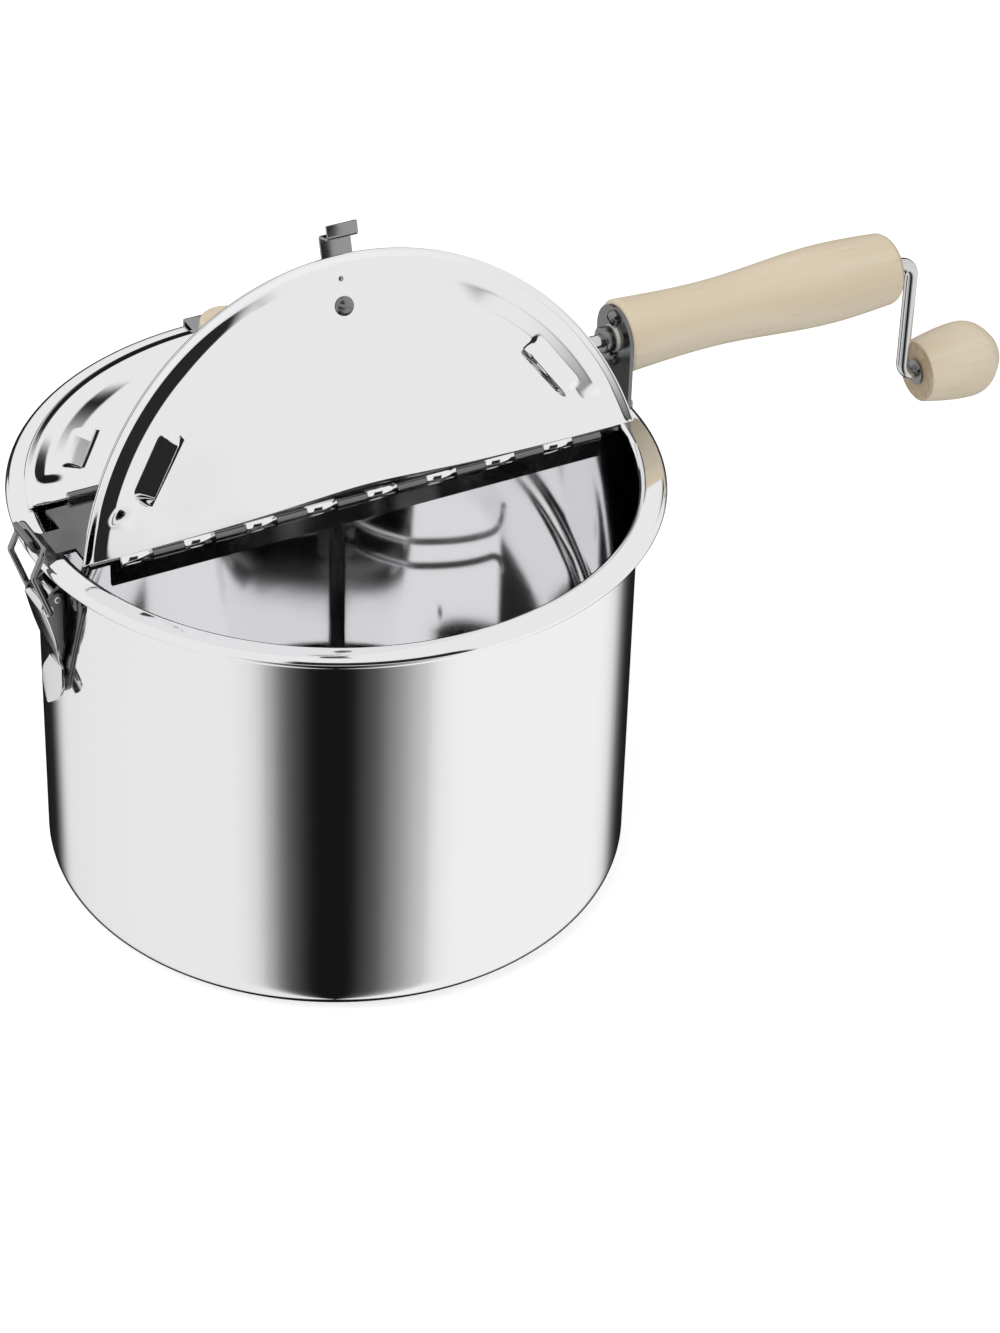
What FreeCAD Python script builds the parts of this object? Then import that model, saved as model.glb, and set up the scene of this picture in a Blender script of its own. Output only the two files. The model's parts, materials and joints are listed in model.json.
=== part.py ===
import FreeCAD, Part
import math
import os
from FreeCAD import Vector

# Stovetop popcorn popper: a flared steel pot, a crossbar with two hinged half lids, a wooden handle
# and a crank whose bevel gears turn a wire stirrer. Millimetres, +Z up. The origin is the centre of the
# pot's base, +X points along the handle, and the front lid, at rest wide open, hangs on the -Y side.

# Pot
wall_radius = 110.0
sheet = 0.9
rim_height = 165.0
flange_width = 10.0
bead_radius = 2.1
base_corner = 12.0
flare_bend = 2.5

# Crossbar and hinges
bar_half_width = 20.0
bar_sheet = 1.5
bar_flange_depth = 9.0
bar_inset = 14.0
bar_flange_inset = 8.0
hinge_offset = 22.7
hinge_pin_radius = 1.1
hinge_inset = 10.0
knuckle_count = 16
knuckle_gap = 0.3

# Handle bracket, rim hook and handle
tab_inset = 4.4
tab_half_width = 12.5
tab_bend = 2.5
crank_height = 27.0
rim_hook_sheet = 1.0
rim_hook_half_width = 5.0
rim_hook_depth = 7.0
rim_hook_slack = 0.05
rim_hook_patch = 9.0
rim_hook_bend = 0.8
hook_half_width = 7.0
hook_play = 1.5
hook_lip = 1.5
hook_climb = 4.8
handle_length = 119.5
handle_end_radius = 14.0
handle_waist_radius = 12.6
handle_belly_radius = 15.3
handle_waist_at = 43.0
handle_belly_at = 90.0
handle_near_edge = 1.5
handle_far_edge = 4.0
handle_bore_clearance = 0.7
handle_screw_radius = 1.8
handle_screw_length = 22.0
handle_screw_spacing = 8.5
handle_screw_head_radius = 3.0
handle_screw_head = 2.6

# Crank
rod_radius = 2.5
rod_bend = 6.0
crank_overhang = 11.0
crank_throw = 51.0
crank_knob_length = 34.0
crank_knob_face_radius = 12.2
crank_knob_belly_radius = 15.1
crank_knob_belly_at = 19.5
knob_end_radius = 7.5
knob_cap_radius = 5.2
knob_cap_depth = 5.5
knob_washer_sheet = 0.8
running_fit = 0.06

# Bevel gears
gear_module = 1.25
drive_teeth = 16
driven_teeth = 20
tooth_backlash = 0.16
pressure_angle = 20.0
face_width_ratio = 0.34
gear_web = 2.5
gear_hub_radius = 6.0
gear_pin_radius = 1.0
drive_hub_length = 5.0

# Bearings
bush_wall = 1.6
bush_flange = 1.2
bush_flange_width = 2.6
rod_bush_flange_width = 1.2
bush_tail = 1.5
shaft_bush_tail = 7.0
shaft_washer_sheet = 0.8
shaft_top_gap = 3.0
bracket_sheet = 1.5
bracket_half_width = 10.0
bracket_foot = 15.0
collar_radius = 5.0
collar_length = 4.0

# Stirrer
shaft_radius = 3.0
stirrer_hub_radius = 7.0
stirrer_hub_length = 14.0
hub_screw_radius = 1.25
stirrer_wire_radius = 1.5
floor_clearance = 1.5
long_arm_gap = 16.0
long_arm_rise = 20.0
short_arm_share = 0.7
short_arm_rise = 12.0
arm_sweep = 16.0
arm_bend = 8.0

# Half lids
lid_sheet = 0.8
lid_inset = 7.0
lid_open_angle = 105.8
rib_inset = 8.5
rib_width = 8.0
rib_height = 1.8
rib_start = 20.0
rib_stop = 82.0
vent_inset = 21.3
vent_angle = 34.5
vent_length = 27.0
vent_depth = 6.5
vent_height = 2.8
vent_ramp = 4.0
lid_screw_inset = 18.5
lid_screw_radius = 2.0
lid_knob_radius = 12.0
lid_knob_top_radius = 10.0
lid_knob_edge = 1.2
lid_knob_height = 12.5
catch_sheet = 1.0
catch_half_width = 6.0
catch_drop = 5.5
catch_lip = 5.0
catch_nub_inset = 8.5
catch_nub_radius = 1.0
catch_tail = 8.0
catch_bend = 1.2
lid_screw_head_radius = 3.6
lid_screw_head = 1.8
lid_screw_length = 11.0

# Latch
plate_sheet = 1.2
plate_corner = 5.5
plate_rivet_y = 13.5
plate_rivet_drop = 16.5
tip_rivet_below_neck = 7.3
ear_inner = 5.2
ear_sheet = 1.3
ear_radius = 2.5
lever_inner = 6.8
lever_sheet = 1.2
pivot_out = 4.0
pivot_drop = 17.5
latch_pin_radius = 1.5
bail_wire_radius = 1.2
bail_half_width = 10.3
bail_bend = 2.1
bail_foot = 6.5
bail_step = 3.7
bail_elbow_out = 3.7
bail_elbow_drop = 3.8
bail_seat_in = 1.0
bail_seat_height = 6.2
barrel_radius = 2.4
lever_length = 47.0
paddle_length = 19.0
paddle_half_width = 8.5
paddle_flare = 4.4
lever_bend = 3.0
lever_taper = 9.0
lever_ear = 2.6

# Small gaps between pieces
slip = 0.3
rivet_radius = 1.6
rivet_head_radius = 3.0
rivet_head = 1.0
rivet_head_seat = 0.05

# Places worked out from the sizes
rim_radius = wall_radius + flange_width
bar_reach = rim_radius - bar_inset
bar_flange_reach = bar_reach - bar_flange_inset
hinge_span = 2 * (bar_reach - hinge_inset)
tab_face = rim_radius - tab_inset
crank_offset_x = tab_face + handle_length + crank_overhang
long_arm = wall_radius - long_arm_gap
short_arm = long_arm * short_arm_share
lid_radius = rim_radius - lid_inset
rib_radius = lid_radius - rib_inset
vent_radius = lid_radius - vent_inset
lid_screw_at = lid_radius - lid_screw_inset
catch_nub_at = lid_radius - catch_nub_inset
bar_bottom = rim_height
bar_top = bar_bottom + bar_sheet
knuckle_radius = hinge_pin_radius + 1.1
hinge_z = bar_bottom + knuckle_radius
lid_bore = hinge_pin_radius + 0.05
lid_curl = lid_bore + lid_sheet
lid_bottom = hinge_z - lid_curl
lid_top = lid_bottom + lid_sheet
crank_z = rim_height + crank_height
tab_back = tab_face - bar_sheet
drive_pitch = gear_module * drive_teeth / 2
driven_pitch = gear_module * driven_teeth / 2
shaft_bush_radius = shaft_radius + running_fit + bush_wall
rod_bush_radius = rod_radius + running_fit + bush_wall
driven_hub_length = crank_z - drive_pitch - gear_web - bar_top - bush_flange - slip - shaft_washer_sheet
gear_bracket_face = driven_pitch + gear_web + drive_hub_length + slip + bush_flange
rod_start = driven_pitch * (1 - face_width_ratio) - 1.2
knob_start = crank_offset_x + rod_bend + knob_washer_sheet + slip
knob_end = knob_start + crank_knob_length
long_wire_z = sheet + floor_clearance + stirrer_wire_radius
short_wire_z = long_wire_z + 2 * stirrer_wire_radius + 0.2
shaft_bottom = short_wire_z + stirrer_wire_radius + 0.6
hub_top = sheet + 1 + stirrer_hub_length
plate_rivet_z = rim_height - plate_rivet_drop
lever_neck_z = rim_height - pivot_drop - bail_step - lever_length + paddle_length
plate_tip_z = lever_neck_z - tip_rivet_below_neck
X_AXIS = Vector(1, 0, 0)
Y_AXIS = Vector(0, 1, 0)
Z_AXIS = Vector(0, 0, 1)
PARTS = "parts"


def cylinder(radius, length, base, axis=Z_AXIS):
    return Part.makeCylinder(radius, length, base, axis)


def tube(outer, inner, length, base, axis=Z_AXIS):
    return cylinder(outer, length, base, axis).cut(cylinder(inner, length, base, axis))


def block(x0, x1, y0, y1, z0, z1):
    return Part.makeBox(x1 - x0, y1 - y0, z1 - z0, Vector(x0, y0, z0))


def line(start, end):
    return Part.LineSegment(start, end).toShape()


def arc(start, middle, end):
    return Part.Arc(start, middle, end).toShape()


def curve(points):
    spline = Part.BSplineCurve()
    spline.interpolate(points)
    return spline.toShape()


def polygon(points):
    return Part.makePolygon([*points, points[0]])


def prism(points, extrusion):
    return Part.Face(polygon(points)).extrude(extrusion)


def turned(edges, axis_point, axis, angle=360):
    return Part.Face(Part.Wire(edges)).revolve(axis_point, axis, angle)


def rounded_plate(centres, radius, extrusion):
    """A plate whose outline keeps one radius outside the polygon through the centres."""
    outline = polygon(centres).makeOffset2D(radius)
    return Part.Face(outline).extrude(extrusion)


def bent_path(points, bend):
    """Straight runs through the points, with an arc of one radius at each inner point."""
    edges = []
    here = points[0]
    for before, corner, after in zip(points, points[1:], points[2:]):
        arriving = (corner - before).normalize()
        leaving = (after - corner).normalize()
        half_turn = arriving.getAngle(leaving) / 2
        reach = bend * math.tan(half_turn)
        inward = (leaving - arriving).normalize()
        middle = corner + inward * (bend / math.cos(half_turn) - bend)
        edges.append(line(here, corner - arriving * reach))
        edges.append(arc(corner - arriving * reach, middle, corner + leaving * reach))
        here = corner + leaving * reach
    edges.append(line(here, points[-1]))
    return Part.Wire(edges)


def bent_rod(points, radius, bend):
    circle = Part.Circle(points[0], points[1] - points[0], radius).toShape()
    return bent_path(points, bend).makePipeShell([Part.Wire(circle)], True, False)


def bent_strip(points, thickness, half_width, bend, across):
    """A sheet strip whose middle surface follows the points; across is the direction of its width."""
    normal = across.cross(points[1] - points[0]).normalize()
    corners = []
    for width_side, face_side in ((-1, -1), (1, -1), (1, 1), (-1, 1)):
        offset = across * (width_side * half_width) + normal * (face_side * thickness / 2)
        corners.append(points[0] + offset)
    return bent_path(points, bend).makePipeShell([polygon(corners)], True, False)


def half_turn_about_z(shape):
    other = shape.copy()
    other.rotate(Vector(), Z_AXIS, 180)
    return other


def save(name, shape):
    if not shape.isValid():
        raise ValueError(name + " is not a valid shape")
    shape.exportStep(os.path.join(PARTS, name + ".step"))


def knuckles(first):
    """Every second knuckle's span along the hinge, starting with knuckle number first."""
    pitch = hinge_span / knuckle_count
    spans = []
    for number in range(first, knuckle_count, 2):
        start = number * pitch - hinge_span / 2
        spans.append((start + knuckle_gap / 2, start + pitch - knuckle_gap / 2))
    return spans


BAR_KNUCKLES = knuckles(0)
LID_KNUCKLES = knuckles(1)


def latch_rivet_places():
    """Azimuth about the pot's axis and height of the latch plate's three rivets."""
    side = math.degrees(math.asin(plate_rivet_y / wall_radius))
    return ((180 - side, plate_rivet_z), (180 + side, plate_rivet_z), (180, plate_tip_z))


def latch_rivet(azimuth, height):
    inside = wall_radius - sheet
    shank = cylinder(rivet_radius, sheet + plate_sheet, Vector(inside, 0, height), X_AXIS)
    inner_base = Vector(inside - rivet_head - rivet_head_seat, 0, height)
    inner = cylinder(rivet_head_radius, rivet_head, inner_base, X_AXIS)
    neck = cylinder(rivet_radius, rivet_head_seat, Vector(inside - rivet_head_seat, 0, height), X_AXIS)
    outer_base = Vector(wall_radius + plate_sheet, 0, height)
    outer = cylinder(rivet_head_radius, rivet_head, outer_base, X_AXIS)
    rivet = shank.fuse([inner, neck, outer]).removeSplitter()
    rivet.rotate(Vector(), Z_AXIS, azimuth)
    return rivet


def latch_rivets():
    return [latch_rivet(azimuth, height) for azimuth, height in latch_rivet_places()]


def pot_body():
    """One drawn sheet: flat base, rounded corner, straight wall, flared rim with a rolled bead."""
    top = rim_height - sheet
    inside = wall_radius - sheet
    flare = wall_radius + flare_bend
    lip = rim_radius - bead_radius
    corner = Vector(wall_radius - base_corner, 0, base_corner)
    slant = math.sqrt(0.5)
    bend = Vector(flare, 0, top - flare_bend)
    bead = Vector(lip, 0, rim_height - bead_radius)
    bead_join = math.sqrt(bead_radius ** 2 - (bead_radius - sheet) ** 2)
    outer_flare = Vector(-slant, 0, slant) * flare_bend
    inner_flare = Vector(-slant, 0, slant) * (flare_bend + sheet)
    edges = [
        line(Vector(0, 0, 0), Vector(corner.x, 0, 0)),
        arc(Vector(corner.x, 0, 0), corner + Vector(slant, 0, -slant) * base_corner,
            Vector(wall_radius, 0, base_corner)),
        line(Vector(wall_radius, 0, base_corner), Vector(wall_radius, 0, bend.z)),
        arc(Vector(wall_radius, 0, bend.z), bend + outer_flare, Vector(flare, 0, top)),
        line(Vector(flare, 0, top), Vector(lip - bead_join, 0, top)),
        arc(Vector(lip - bead_join, 0, top), bead + Vector(slant, 0, -slant) * bead_radius,
            Vector(lip, 0, rim_height)),
        line(Vector(lip, 0, rim_height), Vector(flare, 0, rim_height)),
        arc(Vector(flare, 0, rim_height), bend + inner_flare, Vector(inside, 0, bend.z)),
        line(Vector(inside, 0, bend.z), Vector(inside, 0, base_corner)),
        arc(Vector(inside, 0, base_corner), corner + Vector(slant, 0, -slant) * (base_corner - sheet),
            Vector(corner.x, 0, sheet)),
        line(Vector(corner.x, 0, sheet), Vector(0, 0, sheet)),
        line(Vector(0, 0, sheet), Vector(0, 0, 0)),
    ]
    return turned(edges, Vector(), Z_AXIS).cut(latch_rivets())


def bar_hinge_side():
    """The knuckles on the bar's +Y edge, each joined to the web by its own tongue."""
    pieces = []
    for start, end in BAR_KNUCKLES:
        pieces.append(block(start, end, bar_half_width - bar_sheet, hinge_offset, bar_bottom, bar_top))
        pieces.append(cylinder(knuckle_radius, end - start, Vector(start, hinge_offset, hinge_z), X_AXIS))
    return pieces


def bail_seat():
    return Vector(bail_seat_in - rim_radius, 0, rim_height + bail_seat_height)


def bar_hook():
    """The bar's far end: it lies on the rim, climbs past it and turns up as a lip outside the bail."""
    seat = bail_seat()
    inner = bail_wire_radius + slip + hook_play
    outer = inner + bar_sheet
    centre = seat + Vector(0, 0, inner - bail_wire_radius - slip)
    tip = centre.z + hook_lip
    climb = seat.x + hook_climb
    slant = math.sqrt(0.5)
    edges = [
        line(Vector(-bar_reach, 0, bar_bottom), Vector(climb, 0, bar_bottom)),
        line(Vector(climb, 0, bar_bottom), Vector(centre.x, 0, centre.z - outer)),
        arc(Vector(centre.x, 0, centre.z - outer), centre + Vector(-slant, 0, -slant) * outer,
            Vector(centre.x - outer, 0, centre.z)),
        line(Vector(centre.x - outer, 0, centre.z), Vector(centre.x - outer, 0, tip)),
        line(Vector(centre.x - outer, 0, tip), Vector(centre.x - inner, 0, tip)),
        line(Vector(centre.x - inner, 0, tip), Vector(centre.x - inner, 0, centre.z)),
        arc(Vector(centre.x - inner, 0, centre.z), centre + Vector(-slant, 0, -slant) * inner,
            Vector(centre.x, 0, centre.z - inner)),
        line(Vector(centre.x, 0, centre.z - inner), Vector(climb + bar_sheet / 2, 0, bar_top)),
        line(Vector(climb + bar_sheet / 2, 0, bar_top), Vector(-bar_reach, 0, bar_top)),
        line(Vector(-bar_reach, 0, bar_top), Vector(-bar_reach, 0, bar_bottom)),
    ]
    hook = Part.Face(Part.Wire(edges)).extrude(Y_AXIS * (2 * hook_half_width))
    hook.translate(Y_AXIS * -hook_half_width)
    return hook


def handle_tab():
    """The bar's other end: it lies on the rim and turns up into the plate that carries the handle."""
    middle_z = bar_bottom + bar_sheet / 2
    middle_x = tab_face - bar_sheet / 2
    route = [
        Vector(bar_reach - tab_half_width, 0, middle_z),
        Vector(middle_x, 0, middle_z),
        Vector(middle_x, 0, crank_z),
    ]
    strip = bent_strip(route, bar_sheet, tab_half_width, tab_bend, Y_AXIS)
    top = cylinder(tab_half_width, bar_sheet, Vector(tab_back, 0, crank_z), X_AXIS)
    return strip.fuse(top)


def handle_screw_heights():
    return (crank_z - handle_screw_spacing, crank_z + handle_screw_spacing)


def bracket_rivet_places():
    x = gear_bracket_face + bracket_sheet + bracket_foot / 2
    return [Vector(x, side * bracket_half_width / 2, bar_bottom) for side in (-1, 1)]


def crossbar():
    bar = block(-bar_reach, bar_reach, -bar_half_width, bar_half_width, bar_bottom, bar_top)
    additions = [bar_hook(), handle_tab()]
    for side in (-1, 1):
        near = side * (bar_half_width - bar_sheet)
        far = side * bar_half_width
        additions.append(block(-bar_flange_reach, bar_flange_reach, min(near, far), max(near, far),
                               bar_bottom - bar_flange_depth, bar_top))
    for piece in bar_hinge_side():
        additions += [piece, half_turn_about_z(piece)]
    bar = bar.fuse(additions).removeSplitter()
    cuts = [cylinder(shaft_bush_radius, 2 * bar_sheet, Vector(0, 0, bar_bottom - bar_sheet / 2)),
            cylinder(rod_bush_radius, 2 * bar_sheet, Vector(tab_back - bar_sheet / 2, 0, crank_z), X_AXIS)]
    for height in handle_screw_heights():
        base = Vector(tab_back - bar_sheet / 2, 0, height)
        cuts.append(cylinder(handle_screw_radius, 2 * bar_sheet, base, X_AXIS))
    for place in bracket_rivet_places():
        cuts.append(cylinder(rivet_radius, 2 * bar_sheet, place - Z_AXIS * (bar_sheet / 2)))
    cuts += [front_hinge_pin(), rear_hinge_pin()]
    return bar.cut(cuts)


def rear_hinge_pin():
    return cylinder(hinge_pin_radius, hinge_span, Vector(-hinge_span / 2, hinge_offset, hinge_z), X_AXIS)


def front_hinge_pin():
    return half_turn_about_z(rear_hinge_pin())


def rim_hook():
    """A spring-steel hook on the tab's outer face, which passes over the bead and grips below it."""
    half = rim_hook_sheet / 2
    outside = rim_radius + rim_hook_slack + half
    over = rim_height + rim_hook_slack + half
    under = rim_height - rim_hook_depth - half
    route = [
        Vector(tab_face + half, 0, bar_top + rim_hook_patch),
        Vector(tab_face + half, 0, over),
        Vector(outside, 0, over),
        Vector(outside, 0, under),
        Vector(wall_radius + flare_bend + half, 0, under),
    ]
    return bent_strip(route, rim_hook_sheet, rim_hook_half_width, rim_hook_bend, Y_AXIS)


def handle_grip():
    """Turned wood with a waist near the pot and a belly near the crank; the rod runs through it."""
    bore = rod_radius + handle_bore_clearance
    far = tab_face + handle_length
    slant = math.sqrt(0.5)

    def at(along, radius):
        return Vector(tab_face + along, 0, crank_z + radius)

    near_centre = at(handle_near_edge, handle_end_radius - handle_near_edge)
    far_centre = at(handle_length - handle_far_edge, handle_end_radius - handle_far_edge)
    edges = [
        line(at(0, bore), at(0, handle_end_radius - handle_near_edge)),
        arc(at(0, handle_end_radius - handle_near_edge),
            near_centre + Vector(-slant, 0, slant) * handle_near_edge, at(handle_near_edge, handle_end_radius)),
        curve([at(handle_near_edge, handle_end_radius), at(handle_waist_at, handle_waist_radius),
               at(handle_belly_at, handle_belly_radius),
               at(handle_length - handle_far_edge, handle_end_radius)]),
        arc(at(handle_length - handle_far_edge, handle_end_radius),
            far_centre + Vector(slant, 0, slant) * handle_far_edge,
            at(handle_length, handle_end_radius - handle_far_edge)),
        line(at(handle_length, handle_end_radius - handle_far_edge), at(handle_length, bore)),
        line(at(handle_length, bore), at(0, bore)),
    ]
    grip = turned(edges, Vector(far, 0, crank_z), X_AXIS)
    recess = cylinder(rod_bush_radius + slip, bush_tail + slip, Vector(tab_face, 0, crank_z), X_AXIS)
    screws = [handle_screw(height) for height in handle_screw_heights()]
    return grip.cut([recess, *screws])


def handle_screw(height):
    """A round-headed wood screw from the tab's inner face into the end of the grip."""
    head = cylinder(handle_screw_head_radius, handle_screw_head, Vector(tab_back - handle_screw_head, 0, height),
                    X_AXIS)
    dome_edges = [edge for edge in head.Edges if edge.BoundBox.XMax < tab_back - handle_screw_head + slip]
    head = head.makeFillet(handle_screw_head * 0.6, dome_edges)
    shank = cylinder(handle_screw_radius, handle_screw_length, Vector(tab_back, 0, height), X_AXIS)
    return head.fuse(shank)


def crank_rod():
    """One steel rod: gear end, bearings, handle bore, down the arm and out into the knob."""
    low = crank_z - crank_throw
    route = [
        Vector(rod_start, 0, crank_z),
        Vector(crank_offset_x, 0, crank_z),
        Vector(crank_offset_x, 0, low),
        Vector(knob_end - knob_cap_depth / 2, 0, low),
    ]
    return bent_rod(route, rod_radius, rod_bend).cut(drive_gear_pin())


def crank_knob():
    low = crank_z - crank_throw
    bore = rod_radius + running_fit

    def at(along, radius):
        return Vector(knob_start + along, 0, low + radius)

    length = crank_knob_length
    edges = [
        line(at(0, bore), at(0, crank_knob_face_radius)),
        curve([at(0, crank_knob_face_radius), at(crank_knob_belly_at, crank_knob_belly_radius),
               at(length * 0.85, crank_knob_belly_radius * 0.84), at(length, knob_end_radius)]),
        line(at(length, knob_end_radius), at(length, bore)),
        line(at(length, bore), at(0, bore)),
    ]
    knob = turned(edges, Vector(knob_start, 0, low), X_AXIS)
    recess = cylinder(knob_cap_radius + slip, knob_cap_depth, Vector(knob_end - knob_cap_depth, 0, low), X_AXIS)
    return knob.cut(recess)


def knob_washer():
    """A star washer crimped on the rod against the knob's near face."""
    start = knob_start - slip - knob_washer_sheet
    return tube(collar_radius, rod_radius, knob_washer_sheet, Vector(start, 0, crank_z - crank_throw), X_AXIS)


def knob_cap():
    """The push nut that holds the knob on the rod, sunk in the knob's end."""
    start = knob_end - knob_cap_depth + slip
    return tube(knob_cap_radius, rod_radius, knob_cap_depth / 2 - slip,
                Vector(start, 0, crank_z - crank_throw), X_AXIS)


def bevel_gear(teeth, mate_teeth, bore, hub_length, phase):
    """A bevel gear with its axis on +Z and the apex of its pitch cone at the origin, heel away from it."""
    pitch = gear_module * teeth / 2
    depth = gear_module * mate_teeth / 2
    cone = math.hypot(pitch, depth)
    cone_angle = math.atan2(pitch, depth)
    addendum = gear_module / cone
    dedendum = 1.25 * gear_module / cone
    half_tooth = math.pi / (2 * teeth) * (1 - tooth_backlash) * math.sin(cone_angle)
    slope = math.tan(math.radians(pressure_angle))
    tip_angle = cone_angle + addendum
    root_angle = cone_angle - dedendum
    half_tip = (half_tooth - addendum * slope) / math.sin(tip_angle)
    half_root = (half_tooth + dedendum * slope) / math.sin(root_angle)

    def ring(scale):
        points = []
        for number in range(teeth):
            middle = 2 * math.pi * number / teeth + phase
            for angle, half in ((root_angle, -half_root), (tip_angle, -half_tip),
                                (tip_angle, half_tip), (root_angle, half_root)):
                radius = depth * math.tan(angle) * scale
                points.append(Vector(radius * math.cos(middle + half), radius * math.sin(middle + half),
                                     depth * scale))
        return polygon(points)

    toothed = Part.makeLoft([ring(1), ring(1 - face_width_ratio)], True, True)
    web = cylinder(depth * math.tan(root_angle), gear_web, Vector(0, 0, depth))
    hub = cylinder(gear_hub_radius, hub_length + gear_web, Vector(0, 0, depth))
    gear = toothed.fuse([web, hub]).removeSplitter()
    return gear.cut(cylinder(bore, 4 * depth + hub_length, Vector()))


def drive_gear():
    gear = bevel_gear(drive_teeth, driven_teeth, rod_radius, drive_hub_length, 0)
    gear.rotate(Vector(), Y_AXIS, 90)
    gear.translate(Vector(0, 0, crank_z))
    return gear.cut(drive_gear_pin())


def driven_gear():
    gear = bevel_gear(driven_teeth, drive_teeth, shaft_radius, driven_hub_length, math.pi / driven_teeth)
    gear.rotate(Vector(), X_AXIS, 180)
    gear.translate(Vector(0, 0, crank_z))
    return gear.cut(driven_gear_pin())


def drive_gear_pin():
    x = driven_pitch + gear_web + drive_hub_length / 2
    return cylinder(gear_pin_radius, 2 * gear_hub_radius, Vector(x, -gear_hub_radius, crank_z), Y_AXIS)


def driven_gear_pin():
    z = crank_z - drive_pitch - gear_web - driven_hub_length / 2
    return cylinder(gear_pin_radius, 2 * gear_hub_radius, Vector(0, -gear_hub_radius, z), Y_AXIS)


def gear_bracket():
    """The upright that carries the rod's inner end, with a foot riveted to the bar."""
    half = bracket_sheet / 2
    middle_x = gear_bracket_face + half
    route = [
        Vector(middle_x, 0, crank_z),
        Vector(middle_x, 0, bar_top + half),
        Vector(gear_bracket_face + bracket_sheet + bracket_foot, 0, bar_top + half),
    ]
    strip = bent_strip(route, bracket_sheet, bracket_half_width, tab_bend, Y_AXIS)
    top = cylinder(bracket_half_width, bracket_sheet, Vector(gear_bracket_face, 0, crank_z), X_AXIS)
    cuts = [cylinder(rod_bush_radius, 2 * bracket_sheet, Vector(gear_bracket_face - half, 0, crank_z), X_AXIS)]
    for place in bracket_rivet_places():
        cuts.append(cylinder(rivet_radius, 3 * bar_sheet, place))
    return strip.fuse(top).removeSplitter().cut(cuts)


def bracket_rivets():
    rivets = []
    for place in bracket_rivet_places():
        shank = cylinder(rivet_radius, bar_sheet + bracket_sheet, place)
        below = cylinder(rivet_head_radius, rivet_head, place - Z_AXIS * rivet_head)
        above = cylinder(rivet_head_radius, rivet_head, place + Z_AXIS * (bar_sheet + bracket_sheet))
        rivets.append(shank.fuse([below, above]).removeSplitter())
    return Part.makeCompound(rivets)


def flanged_bush(bore, outer, flange_width, flange_at, length, axis):
    """A bush whose flange starts at flange_at and whose sleeve runs on along the axis."""
    flange = tube(outer + flange_width, bore, bush_flange, flange_at, axis)
    return flange.fuse(tube(outer, bore, length, flange_at + axis * bush_flange, axis)).removeSplitter()


def rod_bush(flange_at, sheet_thickness):
    """A bush for the crank rod, pushed through an upright sheet from its inner side."""
    return flanged_bush(rod_radius + running_fit, rod_bush_radius, rod_bush_flange_width,
                        Vector(flange_at, 0, crank_z), sheet_thickness + bush_tail, X_AXIS)


def shaft_bush():
    return flanged_bush(shaft_radius + running_fit, shaft_bush_radius, bush_flange_width,
                        Vector(0, 0, bar_top + bush_flange), bar_sheet + shaft_bush_tail, -Z_AXIS)


def rod_collar():
    start = tab_back - bush_flange - slip - collar_length
    return tube(collar_radius, rod_radius, collar_length, Vector(start, 0, crank_z), X_AXIS)


def shaft_washer():
    return tube(shaft_bush_radius + bush_flange_width, shaft_radius, shaft_washer_sheet,
                Vector(0, 0, bar_top + bush_flange + slip))


def shaft_clip():
    """The retaining ring under the bush, which keeps the stirrer from rising."""
    top = bar_bottom - shaft_bush_tail - slip
    return tube(shaft_bush_radius + 1, shaft_radius, shaft_washer_sheet, Vector(0, 0, top - shaft_washer_sheet))


def stirrer_shaft():
    top = crank_z - rod_radius - shaft_top_gap
    shaft = cylinder(shaft_radius, top - shaft_bottom, Vector(0, 0, shaft_bottom))
    return shaft.cut(driven_gear_pin())


def stirrer_wire(reach, rise, height, heading):
    """One wire through the hub: its two halves sweep back like an S and rise at the wall."""
    tip_angle = math.radians(heading + arm_sweep)
    knee_angle = math.radians(heading)
    tip = Vector(math.cos(tip_angle), math.sin(tip_angle), 0) * reach
    knee = Vector(math.cos(knee_angle), math.sin(knee_angle), 0) * (reach / 2)
    lift = Vector(0, 0, height)
    up = Vector(0, 0, height + rise)
    return bent_rod([tip + up, tip + lift, knee + lift, lift - knee, lift - tip, up - tip],
                    stirrer_wire_radius, arm_bend)


def stirrer_wires():
    return [
        stirrer_wire(long_arm, long_arm_rise, long_wire_z, 0),
        stirrer_wire(short_arm, short_arm_rise, short_wire_z, 90),
    ]


def hub_screw():
    z = (shaft_bottom + hub_top) / 2
    return cylinder(hub_screw_radius, stirrer_hub_radius - shaft_radius, Vector(0, shaft_radius, z), Y_AXIS)


def stirrer_hub():
    hub = cylinder(stirrer_hub_radius, stirrer_hub_length, Vector(0, 0, hub_top - stirrer_hub_length))
    socket = cylinder(shaft_radius, stirrer_hub_length, Vector(0, 0, shaft_bottom))
    return hub.cut([socket, hub_screw(), *stirrer_wires()])


def closed_lid_to_front(shape):
    """Turns a piece of the closed rear lid to the front and opens it."""
    lid = half_turn_about_z(shape)
    lid.rotate(Vector(0, -hinge_offset, hinge_z), X_AXIS, -lid_open_angle)
    return lid


def lid_rib(start, stop, bottom, inset):
    """A D-shaped ridge along an arc of the lid, from one azimuth to the other."""
    half = rib_width / 2 - inset
    left = Vector(rib_radius - half, 0, bottom)
    crown = Vector(rib_radius, 0, bottom + rib_height)
    right = Vector(rib_radius + half, 0, bottom)
    margin = math.degrees(inset / rib_radius)
    rib = turned([arc(left, crown, right), line(right, left)], Vector(), Z_AXIS, stop - start - 2 * margin)
    rib.rotate(Vector(), Z_AXIS, start + margin)
    return rib


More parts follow.
